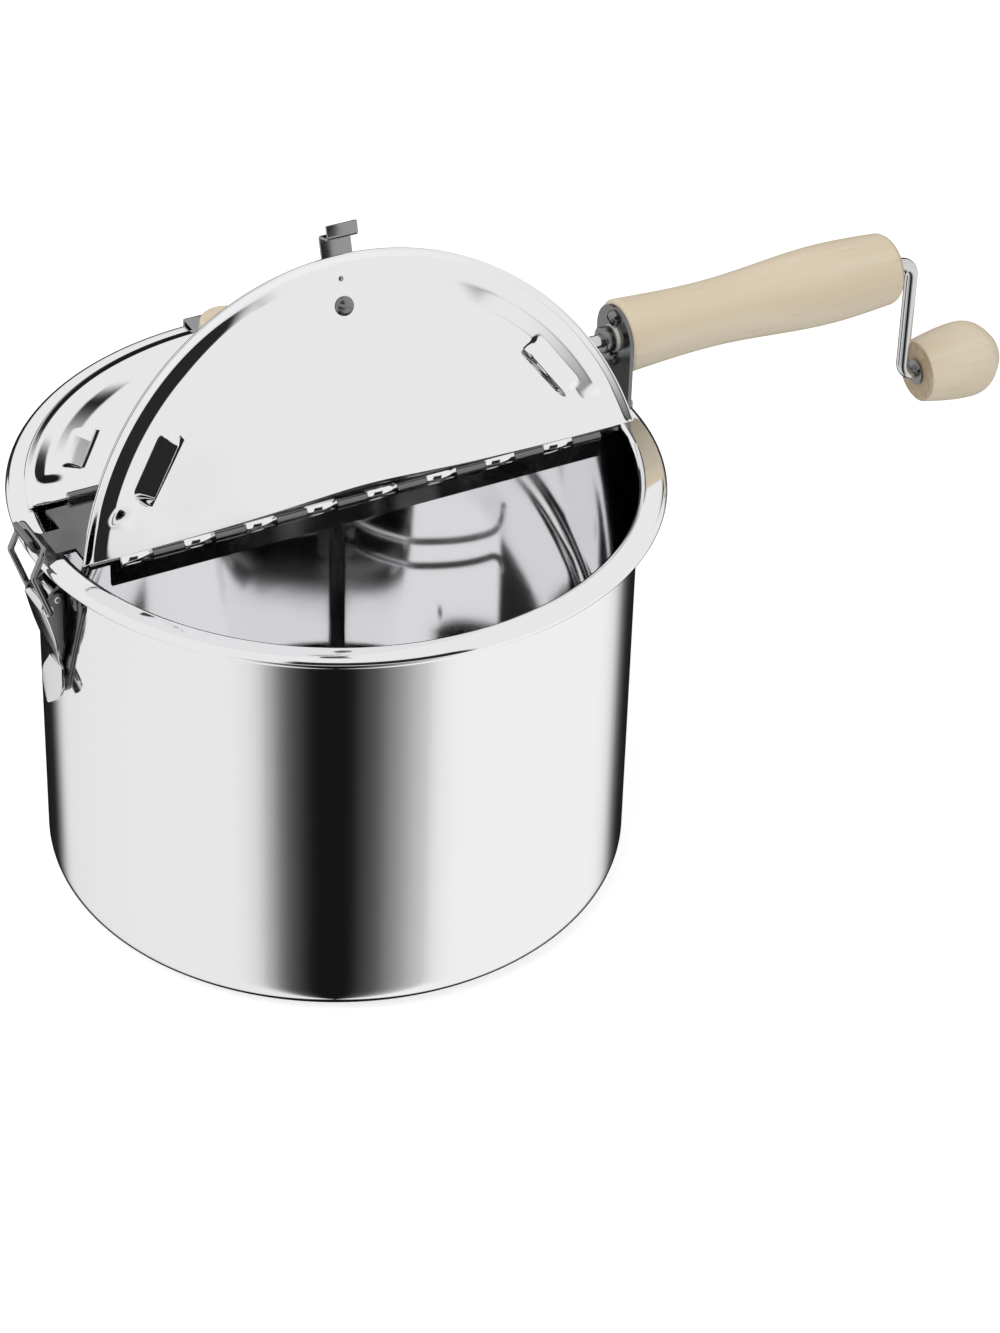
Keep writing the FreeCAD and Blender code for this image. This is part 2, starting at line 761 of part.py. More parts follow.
def ramped_ridge(length, depth, height, ramp):
    """A louvre's hood: highest along its open edge y = 0, falling to the plate behind and at both ends."""
    half = length / 2
    corners = [Vector(-half, 0, 0), Vector(half, 0, 0), Vector(half, depth, 0), Vector(-half, depth, 0)]
    ridge = [Vector(-half + ramp, 0, height), Vector(half - ramp, 0, height)]
    faces = [
        corners[::-1],
        [corners[0], corners[1], ridge[1], ridge[0]],
        [corners[1], corners[2], ridge[1]],
        [corners[2], corners[3], ridge[0], ridge[1]],
        [corners[3], corners[0], ridge[0]],
    ]
    return Part.Solid(Part.Shell([Part.Face(polygon(points)) for points in faces]))


def placed_vent(shape, azimuth):
    """Puts a shape drawn at the origin on the lid, its +Y pointing outwards at the azimuth."""
    vent = shape.copy()
    vent.translate(Vector(0, vent_radius, lid_top))
    vent.rotate(Vector(), Z_AXIS, azimuth - 90)
    return vent


def vent_hood():
    return ramped_ridge(vent_length, vent_depth, vent_height, vent_ramp)


def vent_hollow():
    """The space under the hood and the slit through the plate below it."""
    hollow = ramped_ridge(vent_length - 3 * lid_sheet, vent_depth - 1.5 * lid_sheet, vent_height - lid_sheet,
                          vent_ramp)
    hollow.translate(Vector(0, -lid_sheet / 4, 0))
    half = vent_length / 2 - 3 * lid_sheet
    slit = block(-half, half, -lid_sheet / 4, vent_depth - 3 * lid_sheet, -2 * lid_sheet, lid_sheet / 4)
    return hollow.fuse(slit)


def catch_nub(radius, length):
    return cylinder(radius, length, Vector(0, catch_nub_at, lid_bottom))


def lid_screw_shank(length):
    return cylinder(lid_screw_radius, length, Vector(0, lid_screw_at, lid_bottom))


def rear_lid():
    disc = cylinder(lid_radius, lid_sheet, Vector(0, 0, lid_bottom))
    half = disc.common(block(-lid_radius, lid_radius, hinge_offset, lid_radius, lid_bottom, lid_top))
    additions = []
    cuts = []
    for start, end in LID_KNUCKLES:
        additions.append(cylinder(lid_curl, end - start, Vector(start, hinge_offset, hinge_z), X_AXIS))
    for start, end in BAR_KNUCKLES:
        cuts.append(block(start - knuckle_gap, end + knuckle_gap, hinge_offset - lid_curl,
                          hinge_offset + knuckle_radius + slip, lid_bottom, lid_top))
    for start, stop in ((rib_start, rib_stop), (180 - rib_stop, 180 - rib_start)):
        additions.append(lid_rib(start, stop, lid_top, 0))
        cuts.append(lid_rib(start, stop, lid_bottom, lid_sheet))
    for azimuth in (vent_angle, 180 - vent_angle):
        additions.append(placed_vent(vent_hood(), azimuth))
        cuts.append(placed_vent(vent_hollow(), azimuth))
    cuts.append(cylinder(lid_bore, hinge_span, Vector(-hinge_span / 2, hinge_offset, hinge_z), X_AXIS))
    cuts.append(lid_screw_shank(2 * lid_sheet))
    cuts.append(catch_nub(catch_nub_radius + running_fit, 2 * lid_sheet))
    return half.fuse(additions).removeSplitter().cut(cuts)


def rear_catch():
    """A strip clamped under the knob, which reaches over the rim and ends in a finger lip."""
    half = catch_sheet / 2
    outside = rim_radius + slip + half
    route = [
        Vector(0, lid_screw_at - catch_tail, lid_top + half),
        Vector(0, outside, lid_top + half),
        Vector(0, outside, rim_height - catch_drop),
        Vector(0, outside + catch_lip, rim_height - catch_drop),
    ]
    strip = bent_strip(route, catch_sheet, catch_half_width, catch_bend, X_AXIS)
    nub = catch_nub(catch_nub_radius, lid_sheet)
    return strip.fuse(nub).removeSplitter().cut(lid_screw_shank(4 * lid_sheet))


def rear_lid_knob():
    base = lid_top + catch_sheet

    def at(radius, up):
        return Vector(radius, lid_screw_at, base + up)

    shoulder = lid_knob_height - lid_knob_edge
    crown = lid_knob_top_radius - lid_knob_edge
    slant = math.sqrt(0.5) * lid_knob_edge
    edges = [
        line(at(0, 0), at(lid_knob_radius, 0)),
        line(at(lid_knob_radius, 0), at(lid_knob_top_radius, shoulder)),
        arc(at(lid_knob_top_radius, shoulder), at(crown + slant, shoulder + slant), at(crown, lid_knob_height)),
        line(at(crown, lid_knob_height), at(0, lid_knob_height)),
        line(at(0, lid_knob_height), at(0, 0)),
    ]
    return turned(edges, Vector(0, lid_screw_at, base), Z_AXIS).cut(lid_screw_shank(lid_screw_length))


def rear_lid_screw():
    """A round-headed screw from below, through lid and catch into the knob."""
    base = Vector(0, lid_screw_at, lid_bottom - lid_screw_head)
    head = cylinder(lid_screw_head_radius, lid_screw_head, base)
    rim_edges = [edge for edge in head.Edges if edge.BoundBox.ZMax < base.z + slip]
    head = head.makeFillet(lid_screw_head * 0.6, rim_edges)
    return head.fuse(lid_screw_shank(lid_screw_length))


def latch_plate():
    """The base plate, bent round the wall, with two ears for the lever's pin."""
    ring = tube(wall_radius + plate_sheet, wall_radius, rim_height, Vector())
    centres = [Vector(-rim_radius, side * plate_rivet_y, plate_rivet_z) for side in (-1, 1)]
    centres.append(Vector(-rim_radius, 0, plate_tip_z))
    outline = rounded_plate(centres, plate_corner, X_AXIS * (rim_radius / 2))
    plate = ring.common(outline)
    pivot = latch_pivot()
    ears = []
    for side in (-1, 1):
        inner = side * ear_inner
        outer = side * (ear_inner + ear_sheet)
        low, high = min(inner, outer), max(inner, outer)
        ears.append(block(pivot.x, sheet / 2 - wall_radius - plate_sheet, low, high, pivot.z - ear_radius,
                          pivot.z + ear_radius))
        ears.append(cylinder(ear_radius, ear_sheet, Vector(pivot.x, low, pivot.z), Y_AXIS))
    return plate.fuse(ears).removeSplitter().cut([latch_pin(), *latch_rivets()])


def latch_pivot():
    return Vector(-wall_radius - pivot_out, 0, rim_height - pivot_drop)


def bail_pivot():
    return latch_pivot() - Vector(bail_step, 0, bail_step)


def latch_pin():
    half = lever_inner + lever_sheet + slip / 2
    return cylinder(latch_pin_radius, 2 * half, latch_pivot() - Y_AXIS * half, Y_AXIS)


def lever_face_points():
    """Middle line of the lever's face: from the barrel in towards the wall, then out along the paddle."""
    half = lever_sheet / 2
    top = bail_pivot() - Vector(barrel_radius - half, 0, 0)
    neck = Vector(-wall_radius - plate_sheet - slip - half, 0, lever_neck_z)
    tip = neck - Vector(paddle_flare, 0, paddle_length)
    return top, neck, tip


def latch_lever():
    """A channel: barrel for the bail at the top, side walls on the pivot pin, a leaf-shaped paddle below."""
    width = lever_inner + lever_sheet
    top, neck, tip = lever_face_points()
    face = bent_strip([top, neck, tip], lever_sheet, width + slip, lever_bend, Y_AXIS)
    middle = (neck.z + tip.z) / 2
    outline = [
        Vector(0, -width, top.z), Vector(0, -width, neck.z + lever_taper), Vector(0, -lever_inner + 1, neck.z),
        Vector(0, -paddle_half_width, middle), Vector(0, -paddle_half_width / 2, tip.z + 2),
        Vector(0, 0, tip.z), Vector(0, paddle_half_width / 2, tip.z + 2),
        Vector(0, paddle_half_width, middle), Vector(0, lever_inner - 1, neck.z),
        Vector(0, width, neck.z + lever_taper), Vector(0, width, top.z),
    ]
    face = face.common(prism(outline, -X_AXIS * (2 * rim_radius)))
    pivot = latch_pivot()
    barrel_at = bail_pivot()
    barrel = cylinder(barrel_radius, 2 * width, barrel_at - Y_AXIS * width, Y_AXIS)
    walls = []
    for start in (-width, lever_inner):
        cheek = prism([
            Vector(pivot.x, start, pivot.z + lever_ear),
            Vector(pivot.x + lever_ear, start, pivot.z),
            Vector(pivot.x + lever_ear, start, pivot.z - lever_ear),
            Vector(neck.x, start, neck.z + lever_taper),
            Vector(neck.x - lever_sheet / 2, start, neck.z + lever_taper / 2),
            Vector(top.x - lever_sheet / 2, start, top.z),
            Vector(barrel_at.x - lever_ear / 2, start, barrel_at.z + barrel_radius),
        ], Y_AXIS * lever_sheet)
        walls += [cheek, cylinder(lever_ear, lever_sheet, Vector(pivot.x, start, pivot.z), Y_AXIS)]
    pin_hole = cylinder(latch_pin_radius + running_fit, 4 * width, pivot - Y_AXIS * (2 * width), Y_AXIS)
    wire_hole = cylinder(bail_wire_radius + running_fit, 4 * width, barrel_at - Y_AXIS * (2 * width), Y_AXIS)
    return face.fuse([barrel, *walls]).removeSplitter().cut([pin_hole, wire_hole])


def latch_bail():
    """A spring-wire loop from the lever's barrel, out round the rim and over the bar's hook."""
    foot = bail_pivot()
    seat = bail_seat()
    elbow = Vector(-rim_radius - bail_elbow_out, 0, rim_height - bail_elbow_drop)
    side = Y_AXIS * bail_half_width
    end = Y_AXIS * (bail_half_width - bail_foot)
    route = [foot + end, foot + side, elbow + side, seat + side,
             seat - side, elbow - side, foot - side, foot - end]
    return bent_rod(route, bail_wire_radius, bail_bend)


SHAPES = {
    "pot_body": pot_body,
    "latch_plate": latch_plate,
    "latch_rivets": lambda: Part.makeCompound(latch_rivets()),
    "latch_pin": latch_pin,
    "latch_lever": latch_lever,
    "latch_bail": latch_bail,
    "crossbar": crossbar,
    "rim_hook": rim_hook,
    "rear_hinge_pin": rear_hinge_pin,
    "front_hinge_pin": front_hinge_pin,
    "handle_grip": handle_grip,
    "handle_screws": lambda: Part.makeCompound([handle_screw(height) for height in handle_screw_heights()]),
    "crank_rod": crank_rod,
    "rod_collar": rod_collar,
    "crank_knob": crank_knob,
    "knob_washer": knob_washer,
    "knob_cap": knob_cap,
    "drive_gear": drive_gear,
    "drive_gear_pin": drive_gear_pin,
    "driven_gear": driven_gear,
    "driven_gear_pin": driven_gear_pin,
    "gear_bracket": gear_bracket,
    "bracket_rivets": bracket_rivets,
    "rod_bush_inner": lambda: rod_bush(gear_bracket_face - bush_flange, bracket_sheet),
    "rod_bush_outer": lambda: rod_bush(tab_back - bush_flange, bar_sheet),
    "shaft_bush": shaft_bush,
    "shaft_washer": shaft_washer,
    "shaft_clip": shaft_clip,
    "stirrer_shaft": stirrer_shaft,
    "stirrer_hub": stirrer_hub,
    "stirrer_wires": lambda: Part.makeCompound(stirrer_wires()),
    "hub_screw": hub_screw,
}

LID_SHAPES = {
    "lid": rear_lid,
    "catch": rear_catch,
    "lid_knob": rear_lid_knob,
    "lid_screw": rear_lid_screw,
}


def main():
    os.makedirs(PARTS, exist_ok=True)
    for name, make in SHAPES.items():
        save(name, make())
    for name, make in LID_SHAPES.items():
        closed = make()
        save("rear_" + name, closed)
        save("front_" + name, closed_lid_to_front(closed))


main()
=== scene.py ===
# %% [markdown]
# A stovetop popcorn popper is mostly mirror: polished sheet, bright wire and a few pieces of turned
# wood. Mirrors only look right when their surfaces are smooth and when there is something good to
# reflect, so this lesson spends its effort on two things: surfaces worked out from formulas, and a
# studio whose light and dark panels show up in the steel.
# The CAD frame comes first. It fixes every size and every place; nothing below moves it.

# %% The CAD frame
import json
from math import cos, pi, radians, sin

import bmesh
import bpy
import numpy as np
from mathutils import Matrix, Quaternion, Vector


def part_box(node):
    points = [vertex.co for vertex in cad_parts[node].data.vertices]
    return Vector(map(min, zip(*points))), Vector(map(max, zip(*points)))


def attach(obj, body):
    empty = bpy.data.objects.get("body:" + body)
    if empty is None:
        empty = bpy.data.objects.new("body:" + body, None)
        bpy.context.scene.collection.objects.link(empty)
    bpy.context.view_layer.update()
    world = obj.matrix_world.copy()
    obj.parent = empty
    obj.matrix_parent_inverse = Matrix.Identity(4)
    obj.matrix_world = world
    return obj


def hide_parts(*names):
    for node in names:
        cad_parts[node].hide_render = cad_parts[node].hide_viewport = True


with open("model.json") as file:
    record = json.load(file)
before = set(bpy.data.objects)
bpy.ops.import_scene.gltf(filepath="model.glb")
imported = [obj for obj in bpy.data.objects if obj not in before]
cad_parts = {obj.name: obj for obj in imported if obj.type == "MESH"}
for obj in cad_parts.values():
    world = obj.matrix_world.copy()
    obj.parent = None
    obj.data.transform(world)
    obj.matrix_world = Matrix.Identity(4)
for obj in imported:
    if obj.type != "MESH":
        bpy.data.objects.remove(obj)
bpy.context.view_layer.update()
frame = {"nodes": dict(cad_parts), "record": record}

NODES = frame["nodes"]
print("nodes in the frame:", len(NODES))

# %% [markdown]
# Lengths are in metres, but a toolmaker thinks in millimetres, so one constant turns millimetres
# into Blender's units. Places are read from the boxes of the CAD nodes wherever they can be, so that
# a new surface sits exactly where the node that it stands for was.

# %% Units and places
MM = 0.001


def span(node):
    """Lowest and highest corner of a CAD node at rest, as arrays."""
    low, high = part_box(node)
    return np.array(low), np.array(high)


def middle(node):
    low, high = span(node)
    return (low + high) / 2


RIM_RADIUS, RIM_TOP = span("pot_body")[1][[0, 2]]
SHEET = 0.9 * MM
WALL_RADIUS = RIM_RADIUS - 10 * MM
GRIP_LOW, GRIP_HIGH = span("handle_grip")
KNOB_LOW, KNOB_HIGH = span("crank_knob")
CRANK_AXIS_Z = middle("handle_grip")[2]
KNOB_AXIS_Z = middle("crank_knob")[2]
ROD_RADIUS = 2.5 * MM
HINGE_Y, HINGE_Z = middle("rear_hinge_pin")[1:]
LID_OPEN = radians(105.8)


def opened(points):
    """Takes points of the closed rear lid to the open front lid.

    Half a turn about the pot's axis, then a turn of LID_OPEN about the front hinge: with a and b the
    distances from the hinge, a * cos + b * sin and b * cos - a * sin.
    """
    x, y, z = np.moveaxis(np.asarray(points, float), -1, 0)
    a, b = HINGE_Y - y, z - HINGE_Z
    c, s = cos(LID_OPEN), sin(LID_OPEN)
    return np.stack([-x, a * c + b * s - HINGE_Y, b * c - a * s + HINGE_Z], axis=-1)


print("rim", round(RIM_TOP, 4), "m up, crank axis", round(CRANK_AXIS_Z, 4), "m up")

# %% [markdown]
# The camera. A product photograph is taken from far away with a long lens, which keeps the pot's
# sides nearly parallel. The place, the aim, the small roll and the lens were found by fitting the
# rim's ellipse, the base's arc and the handle in a 1000 by 1333 frame. The Standard view leaves the
# colours as the materials have them.

# %% Camera
CAMERA_PLACE = Vector((-0.5510, -1.1037, 0.9517))
CAMERA_AIM = Vector((0.0098, -0.1076, 0.1435))
CAMERA_ROLL = radians(1.87)
LENS, SENSOR = 108.6, 36
VIEW_END = 20


def make_camera():
    data = bpy.data.cameras.new("camera")
    data.sensor_width = SENSOR
    data.lens = LENS
    data.clip_end = VIEW_END
    camera = bpy.data.objects.new("camera", data)
    bpy.context.scene.collection.objects.link(camera)
    aim = (CAMERA_AIM - CAMERA_PLACE).to_track_quat("-Z", "Y")
    camera.rotation_mode = "QUATERNION"
    camera.rotation_quaternion = aim @ Quaternion((0, 0, 1), CAMERA_ROLL)
    camera.location = CAMERA_PLACE
    bpy.context.scene.camera = camera
    bpy.context.scene.view_settings.view_transform = "Standard"


make_camera()
print("lens", LENS, "mm, camera", round((CAMERA_AIM - CAMERA_PLACE).length, 3), "m from its aim")

# %% [markdown]
# Meshes. Every new piece is a grid of points, worked out as one numpy array of rows and columns.
# One function turns a list of such grids into a mesh: it joins neighbours into four-sided faces and
# merges the points that lie on each other. A grid that closes on itself simply ends where it began,
# and a pole is a row of equal points, so merging closes both. Each grid also gets a UV map whose two
# numbers run from 0 to 1 along its columns and its rows, and may have a finish of its own.

# %% Grids into meshes
WELD = 2e-6
SHARP_EDGE = radians(40)


def grid_faces(rows, columns):
    """Corner numbers of the faces between neighbouring rows and columns, as a (faces, 4) array."""
    row, column = np.meshgrid(np.arange(rows - 1), np.arange(columns - 1), indexing="ij")
    first = (row * columns + column).ravel()
    return np.stack([first, first + 1, first + columns + 1, first + columns], axis=1)


def merge_doubles(mesh):
    """Closes poles and seams, and turns the faces outwards."""
    work = bmesh.new()
    work.from_mesh(mesh)
    bmesh.ops.remove_doubles(work, verts=work.verts, dist=WELD)
    bmesh.ops.dissolve_degenerate(work, edges=work.edges, dist=WELD / 2)
    bmesh.ops.recalc_face_normals(work, faces=work.faces)
    work.to_mesh(mesh)
    work.free()


def mesh_object(name, grids, finishes=None):
    """One object from a list of (rows, columns, 3) arrays, smooth but for its sharp edges."""
    points = np.concatenate([grid.reshape(-1, 3) for grid in grids])
    faces, uvs, indices, first = [], [], [], 0
    for number, grid in enumerate(grids):
        rows, columns = grid.shape[:2]
        faces.append(grid_faces(rows, columns) + first)
        v, u = np.meshgrid(np.linspace(0, 1, rows), np.linspace(0, 1, columns), indexing="ij")
        uvs.append(np.stack([u.ravel(), v.ravel()], axis=1))
        indices.append(np.full(len(faces[-1]), finishes[number] if finishes else 0))
        first += rows * columns
    faces, uvs, indices = (np.concatenate(parts) for parts in (faces, uvs, indices))
    mesh = bpy.data.meshes.new(name)
    mesh.vertices.add(len(points))
    mesh.vertices.foreach_set("co", points.ravel())
    mesh.loops.add(faces.size)
    mesh.loops.foreach_set("vertex_index", faces.ravel())
    mesh.polygons.add(len(faces))
    mesh.polygons.foreach_set("loop_start", np.arange(0, faces.size, 4))
    mesh.polygons.foreach_set("material_index", indices)
    mesh.uv_layers.new(name="UVMap").data.foreach_set("uv", uvs[faces.ravel()].ravel())
    mesh.update(calc_edges=True)
    merge_doubles(mesh)
    mesh.set_sharp_from_angle(angle=SHARP_EDGE)
    piece = bpy.data.objects.new(name, mesh)
    bpy.context.scene.collection.objects.link(piece)
    return piece


def make_piece(name, grids, materials, body, node, finishes=None):
    """An object with its materials, the body it rides on and the CAD node it stands for."""
    piece = mesh_object(name, grids, finishes)
    for material in materials:
        piece.data.materials.append(material)
    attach(piece, body)
    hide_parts(node)
    print(name, "has", len(piece.data.polygons), "faces")
    return piece


# %% [markdown]
# Two ways of making a grid cover nearly everything here. A turned piece, such as the pot, the grip
# or a knob, is a profile of distances along an axis and radii from it, swept round in a circle.
# A bent piece, such as wire or strip, is a small section carried along a path.

# %% Turned surfaces
TURN_STEPS = 128


def unit(vectors):
    """The vectors divided by their lengths."""
    vectors = np.asarray(vectors, float)
    return vectors / np.linalg.norm(vectors, axis=-1, keepdims=True)


def turned(profile, centre, axis, steps=TURN_STEPS):
    """Grid of centre + along * axis + radius * (cos t * side + sin t * other), for t round the circle."""
    profile = np.asarray(profile, float)
    axis = unit(axis)
    side = unit(np.cross(axis, (0, 1, 0) if abs(axis[1]) < 0.9 else (0, 0, 1)))
    other = np.cross(axis, side)
    t = np.linspace(0, 2 * pi, steps + 1)[None, :, None]
    along, radius = profile[:, :1, None], profile[:, 1:, None]
    return np.asarray(centre, float) + along * axis + radius * (np.cos(t) * side + np.sin(t) * other)


def straight(start, end, steps=2):
    """Profile points from start to end, evenly spaced."""
    t = np.linspace(0, 1, steps)[:, None]
    return (1 - t) * np.asarray(start, float) + t * np.asarray(end, float)


def arc(centre, radius, start, end, steps=12):
    """Profile points on a circle, centre + radius * (sin t, cos t), with t in degrees: 0 is outwards."""
    t = np.radians(np.linspace(start, end, steps))
    return np.stack([centre[0] + radius * np.sin(t), centre[1] + radius * np.cos(t)], axis=1)


def rod_profile(length, radius, edge):
    """A plain rod with rounded edges, from the middle of one end to the middle of the other."""
    return np.concatenate([
        [(0, 0)], arc((edge, radius - edge), edge, -90, 0, 5),
        arc((length - edge, radius - edge), edge, 0, 90, 5), [(length, 0)],
    ])


def ring_profile(length, inner, outer, edge):
    """A ring's section, round its four rounded edges and back to where it began."""
    far = length - edge
    return np.concatenate([
        arc((edge, outer - edge), edge, -90, 0, 4), arc((far, outer - edge), edge, 0, 90, 4),
        arc((far, inner + edge), edge, 90, 180, 4), arc((edge, inner + edge), edge, 180, 270, 4),
        [(0, outer - edge)],
    ])


def dome_profile(radius, height):
    """A rivet's head: a quarter ellipse on a flat face, closed underneath."""
    t = np.linspace(0, pi / 2, 9)
    return np.concatenate([[(0, 0)], np.stack([height * np.sin(t), radius * np.cos(t)], axis=1)])


print("turned pieces have", TURN_STEPS, "steps round")

# %% Carried surfaces
TUBE_STEPS = 24
END_POINT = MM / 10000


def carried(path, section, reference):
    """Grid of path + u * sideways + v * normal: each section point (u, v) carried along the path.

    The normal is the part of the reference direction that is square to the path, and sideways is
    square to both. The section may be one (points, 2) array or one for each path point.
    """
    tangent = unit(np.gradient(path, axis=0))
    reference = np.asarray(reference, float)
    normal = unit(reference - (tangent @ reference)[:, None] * tangent)
    sideways = np.cross(tangent, normal)
    section = np.broadcast_to(section, (len(path),) + np.shape(section)[-2:])
    return path[:, None] + section[..., :1] * sideways[:, None] + section[..., 1:] * normal[:, None]


def circle_section(radius):
    t = np.linspace(0, 2 * pi, TUBE_STEPS + 1)
    return np.stack([radius * np.cos(t), radius * np.sin(t)], axis=1)


def strip_section(half_thickness, half_width, edge, steps=4):
    """A strip's section, thickness first: a rectangle with quarter circles of radius edge at its corners."""
    t = np.concatenate([np.linspace(quarter, quarter + 1, steps) for quarter in range(4)]) * pi / 2
    signs = np.repeat(((1, 1), (-1, 1), (-1, -1), (1, -1)), steps, axis=0)
    thickness = signs[:, 0] * (half_thickness - edge) + edge * np.cos(t)
    width = signs[:, 1] * (np.asarray(half_width, float)[..., None] - edge) + edge * np.sin(t)
    section = np.stack(np.broadcast_arrays(thickness, width), axis=-1)
    return np.concatenate([section, section[..., :1, :]], axis=-2)


def bent_route(corners, bends, step=2.0 * MM, arc_steps=10):
    """Straight runs through the corners, with an arc of the bend's radius at each; bends may differ.

    At a corner that turns the route by twice h, the arc starts bend * tan h before it, and its centre
    lies bend / cos h from it. Its points come from turning the first radius into the last.
    """
    corners = np.asarray(corners, float)
    pieces = [corners[:1]]
    t = np.linspace(0, 1, arc_steps)[:, None]
    bends = np.broadcast_to(bends, len(corners) - 2)
    for before, corner, after, bend in zip(corners, corners[1:], corners[2:], bends):
        arriving, leaving = unit(corner - before), unit(after - corner)
        h = np.arccos(arriving @ leaving) / 2
        centre = corner + unit(leaving - arriving) * bend / np.cos(h)
        a = corner - arriving * bend * np.tan(h) - centre
        b = corner + leaving * bend * np.tan(h) - centre
        pieces.append(centre + (np.sin((1 - t) * 2 * h) * a + np.sin(t * 2 * h) * b) / np.sin(2 * h))
    pieces.append(corners[-1:])
    route = [pieces[0]]
    for piece in pieces[1:]:
        start, end = route[-1][-1], piece[0]
        count = max(1, int(np.linalg.norm(end - start) / step))
        route += [start + (end - start) * (np.arange(1, count)[:, None] / count), piece]
    return np.concatenate(route)


def rounded_ends(path, section, edge, steps=5):
    """The path and its sections with both ends rounded off and closed.

    At a distance edge * (1 - cos t) from the end, a section is scaled by 1 - edge / size * (1 - sin t),
    with t from 0 at the very end to a quarter turn, and a last section of no size closes the end.
    """
    section = np.broadcast_to(section, (len(path),) + np.shape(section)[-2:])
    t = np.linspace(0, pi / 2, steps)
    inset = edge * (1 - np.cos(t))[:, None]
    first, last = unit(path[1] - path[0]), unit(path[-1] - path[-2])
    closed = np.concatenate([
        [path[0] - first * END_POINT], path[0] + first * inset, path[1:-1],
        (path[-1] - last * inset)[::-1], [path[-1] + last * END_POINT],
    ])
    scales = []
    for size in (np.abs(section[0]).max(), np.abs(section[-1]).max()):
        scales.append(np.r_[0, 1 - edge / size * (1 - np.sin(t))])
    scales = np.r_[scales[0], np.ones(len(path) - 2), scales[1][::-1]]
    at_start, at_end = (np.repeat(end, steps + 1, axis=0) for end in (section[:1], section[-1:]))
    sections = np.concatenate([at_start, section[1:-1], at_end])
    return closed, scales[:, None, None] * sections


def tube(path, radius, reference, edge):
    path, section = rounded_ends(path, circle_section(radius), edge)
    return carried(path, section, reference)


def strip(path, thickness, half_width, across, edge=0.25 * MM):
    """Sheet strip whose middle follows the path; across is the direction of its width."""
    path, section = rounded_ends(path, strip_section(thickness / 2, half_width, edge), edge)
    return carried(path, section, across)


print("tubes have", TUBE_STEPS, "sides")

# %% [markdown]
# Flat pieces are blanked from sheet: a lug or a rivetted plate keeps one radius outside the lines
# through its holes. Its grid is the outline drawn in towards its middle, ring by ring, over the
# back, round the rim and over the front, so that the rim can have a small rounded edge that glints.

# %% Plates
OUTLINE_STEPS = 96


def evenly_stepped(loop):
    """The outline's points again, at equal distances along its length."""
    length = np.r_[0, np.cumsum(np.linalg.norm(np.diff(loop, axis=0), axis=1))]
    even = np.linspace(0, length[-1], OUTLINE_STEPS + 1)
    return np.stack([np.interp(even, length, loop[:, k]) for k in (0, 1)], axis=1)


def hull_outline(centres, radius):
    """Closed outline, evenly stepped, one radius outside a convex polygon of anticlockwise corners."""
    centres = np.asarray(centres, float)
    runs = np.roll(centres, -1, axis=0) - centres
    facing = np.arctan2(runs[:, 1], runs[:, 0]) - pi / 2
    arcs = []
    for centre, arriving, leaving in zip(centres, np.roll(facing, 1), facing):
        t = arriving + (leaving - arriving) % (2 * pi) * np.linspace(0, 1, 13)
        arcs.append(centre + radius * np.stack([np.cos(t), np.sin(t)], axis=1))
    return evenly_stepped(np.concatenate(arcs + [arcs[0][:1]]))


def plate_rows(outline, thickness, edge=0.25 * MM, rings=6):
    """Grid of (u, v, w) over a plate, with w from 0 at its back to the thickness at its front."""
    centre = outline[:-1].mean(axis=0)
    outward = unit(outline - centre)
    t = np.linspace(0, pi / 2, 4)
    share = np.linspace(0, 1, rings)
    shares = np.r_[share, np.ones(2 * len(t)), share[::-1]]
    rounding, depth = edge * (1 - np.sin(t)), edge * (1 - np.cos(t))
    insets = np.r_[np.full(rings, edge), rounding, rounding[::-1], np.full(rings, edge)]
    depths = np.r_[np.zeros(rings), depth, thickness - depth[::-1], np.full(rings, thickness)]
    flat = centre + shares[:, None, None] * (outline - insets[:, None, None] * outward - centre)
    return np.concatenate([flat, np.broadcast_to(depths[:, None, None], flat.shape[:2] + (1,))], axis=2)


print("plates have", OUTLINE_STEPS, "steps round")

# %% [markdown]
# Materials and the world are node trees. A few small helpers keep them readable: each adds a node or
# two, takes either sockets or plain numbers, and gives back the socket with the result.

# %% Node helpers


def feed(tree, sockets, values):
    """Links each socket, or sets it where the value is plain."""
    for socket, value in zip(sockets, values):
        if isinstance(value, bpy.types.NodeSocket):
            tree.links.new(value, socket)
        elif isinstance(value, tuple):
            socket.default_value = (*value, 1)
        elif value is not None:
            socket.default_value = value


def math_node(tree, operation, *values):
    node = tree.nodes.new("ShaderNodeMath")
    node.operation = operation
    feed(tree, node.inputs, values)
    return node.outputs[0]


def mix_values(tree, factor, a, b):
    node = tree.nodes.new("ShaderNodeMix")
    feed(tree, (node.inputs[0], node.inputs[2], node.inputs[3]), (factor, a, b))
    return node.outputs[0]


def mix_colours(tree, factor, a, b):
    node = tree.nodes.new("ShaderNodeMix")
    node.data_type = "RGBA"
    feed(tree, (node.inputs[0], node.inputs[6], node.inputs[7]), (factor, a, b))
    return node.outputs[2]


def smooth_between(tree, value, low, high):
    """0 up to low, 1 from high on, and smooth between them."""
    node = tree.nodes.new("ShaderNodeMapRange")
    node.interpolation_type = "SMOOTHSTEP"
    feed(tree, node.inputs[:3], (value, low, high))
    return node.outputs[0]


def noise(tree, place, scale, detail, stretch=(1, 1, 1)):
    """Noise over the piece; a stretch under 1 draws it out in that direction."""
    mapping = tree.nodes.new("ShaderNodeMapping")
    mapping.inputs["Scale"].default_value = stretch
    texture = tree.nodes.new("ShaderNodeTexNoise")
    feed(tree, (mapping.inputs["Vector"], texture.inputs["Vector"]), (place, mapping.outputs[0]))
    feed(tree, (texture.inputs["Scale"], texture.inputs["Detail"]), (scale, detail))
    return texture.outputs["Fac"]


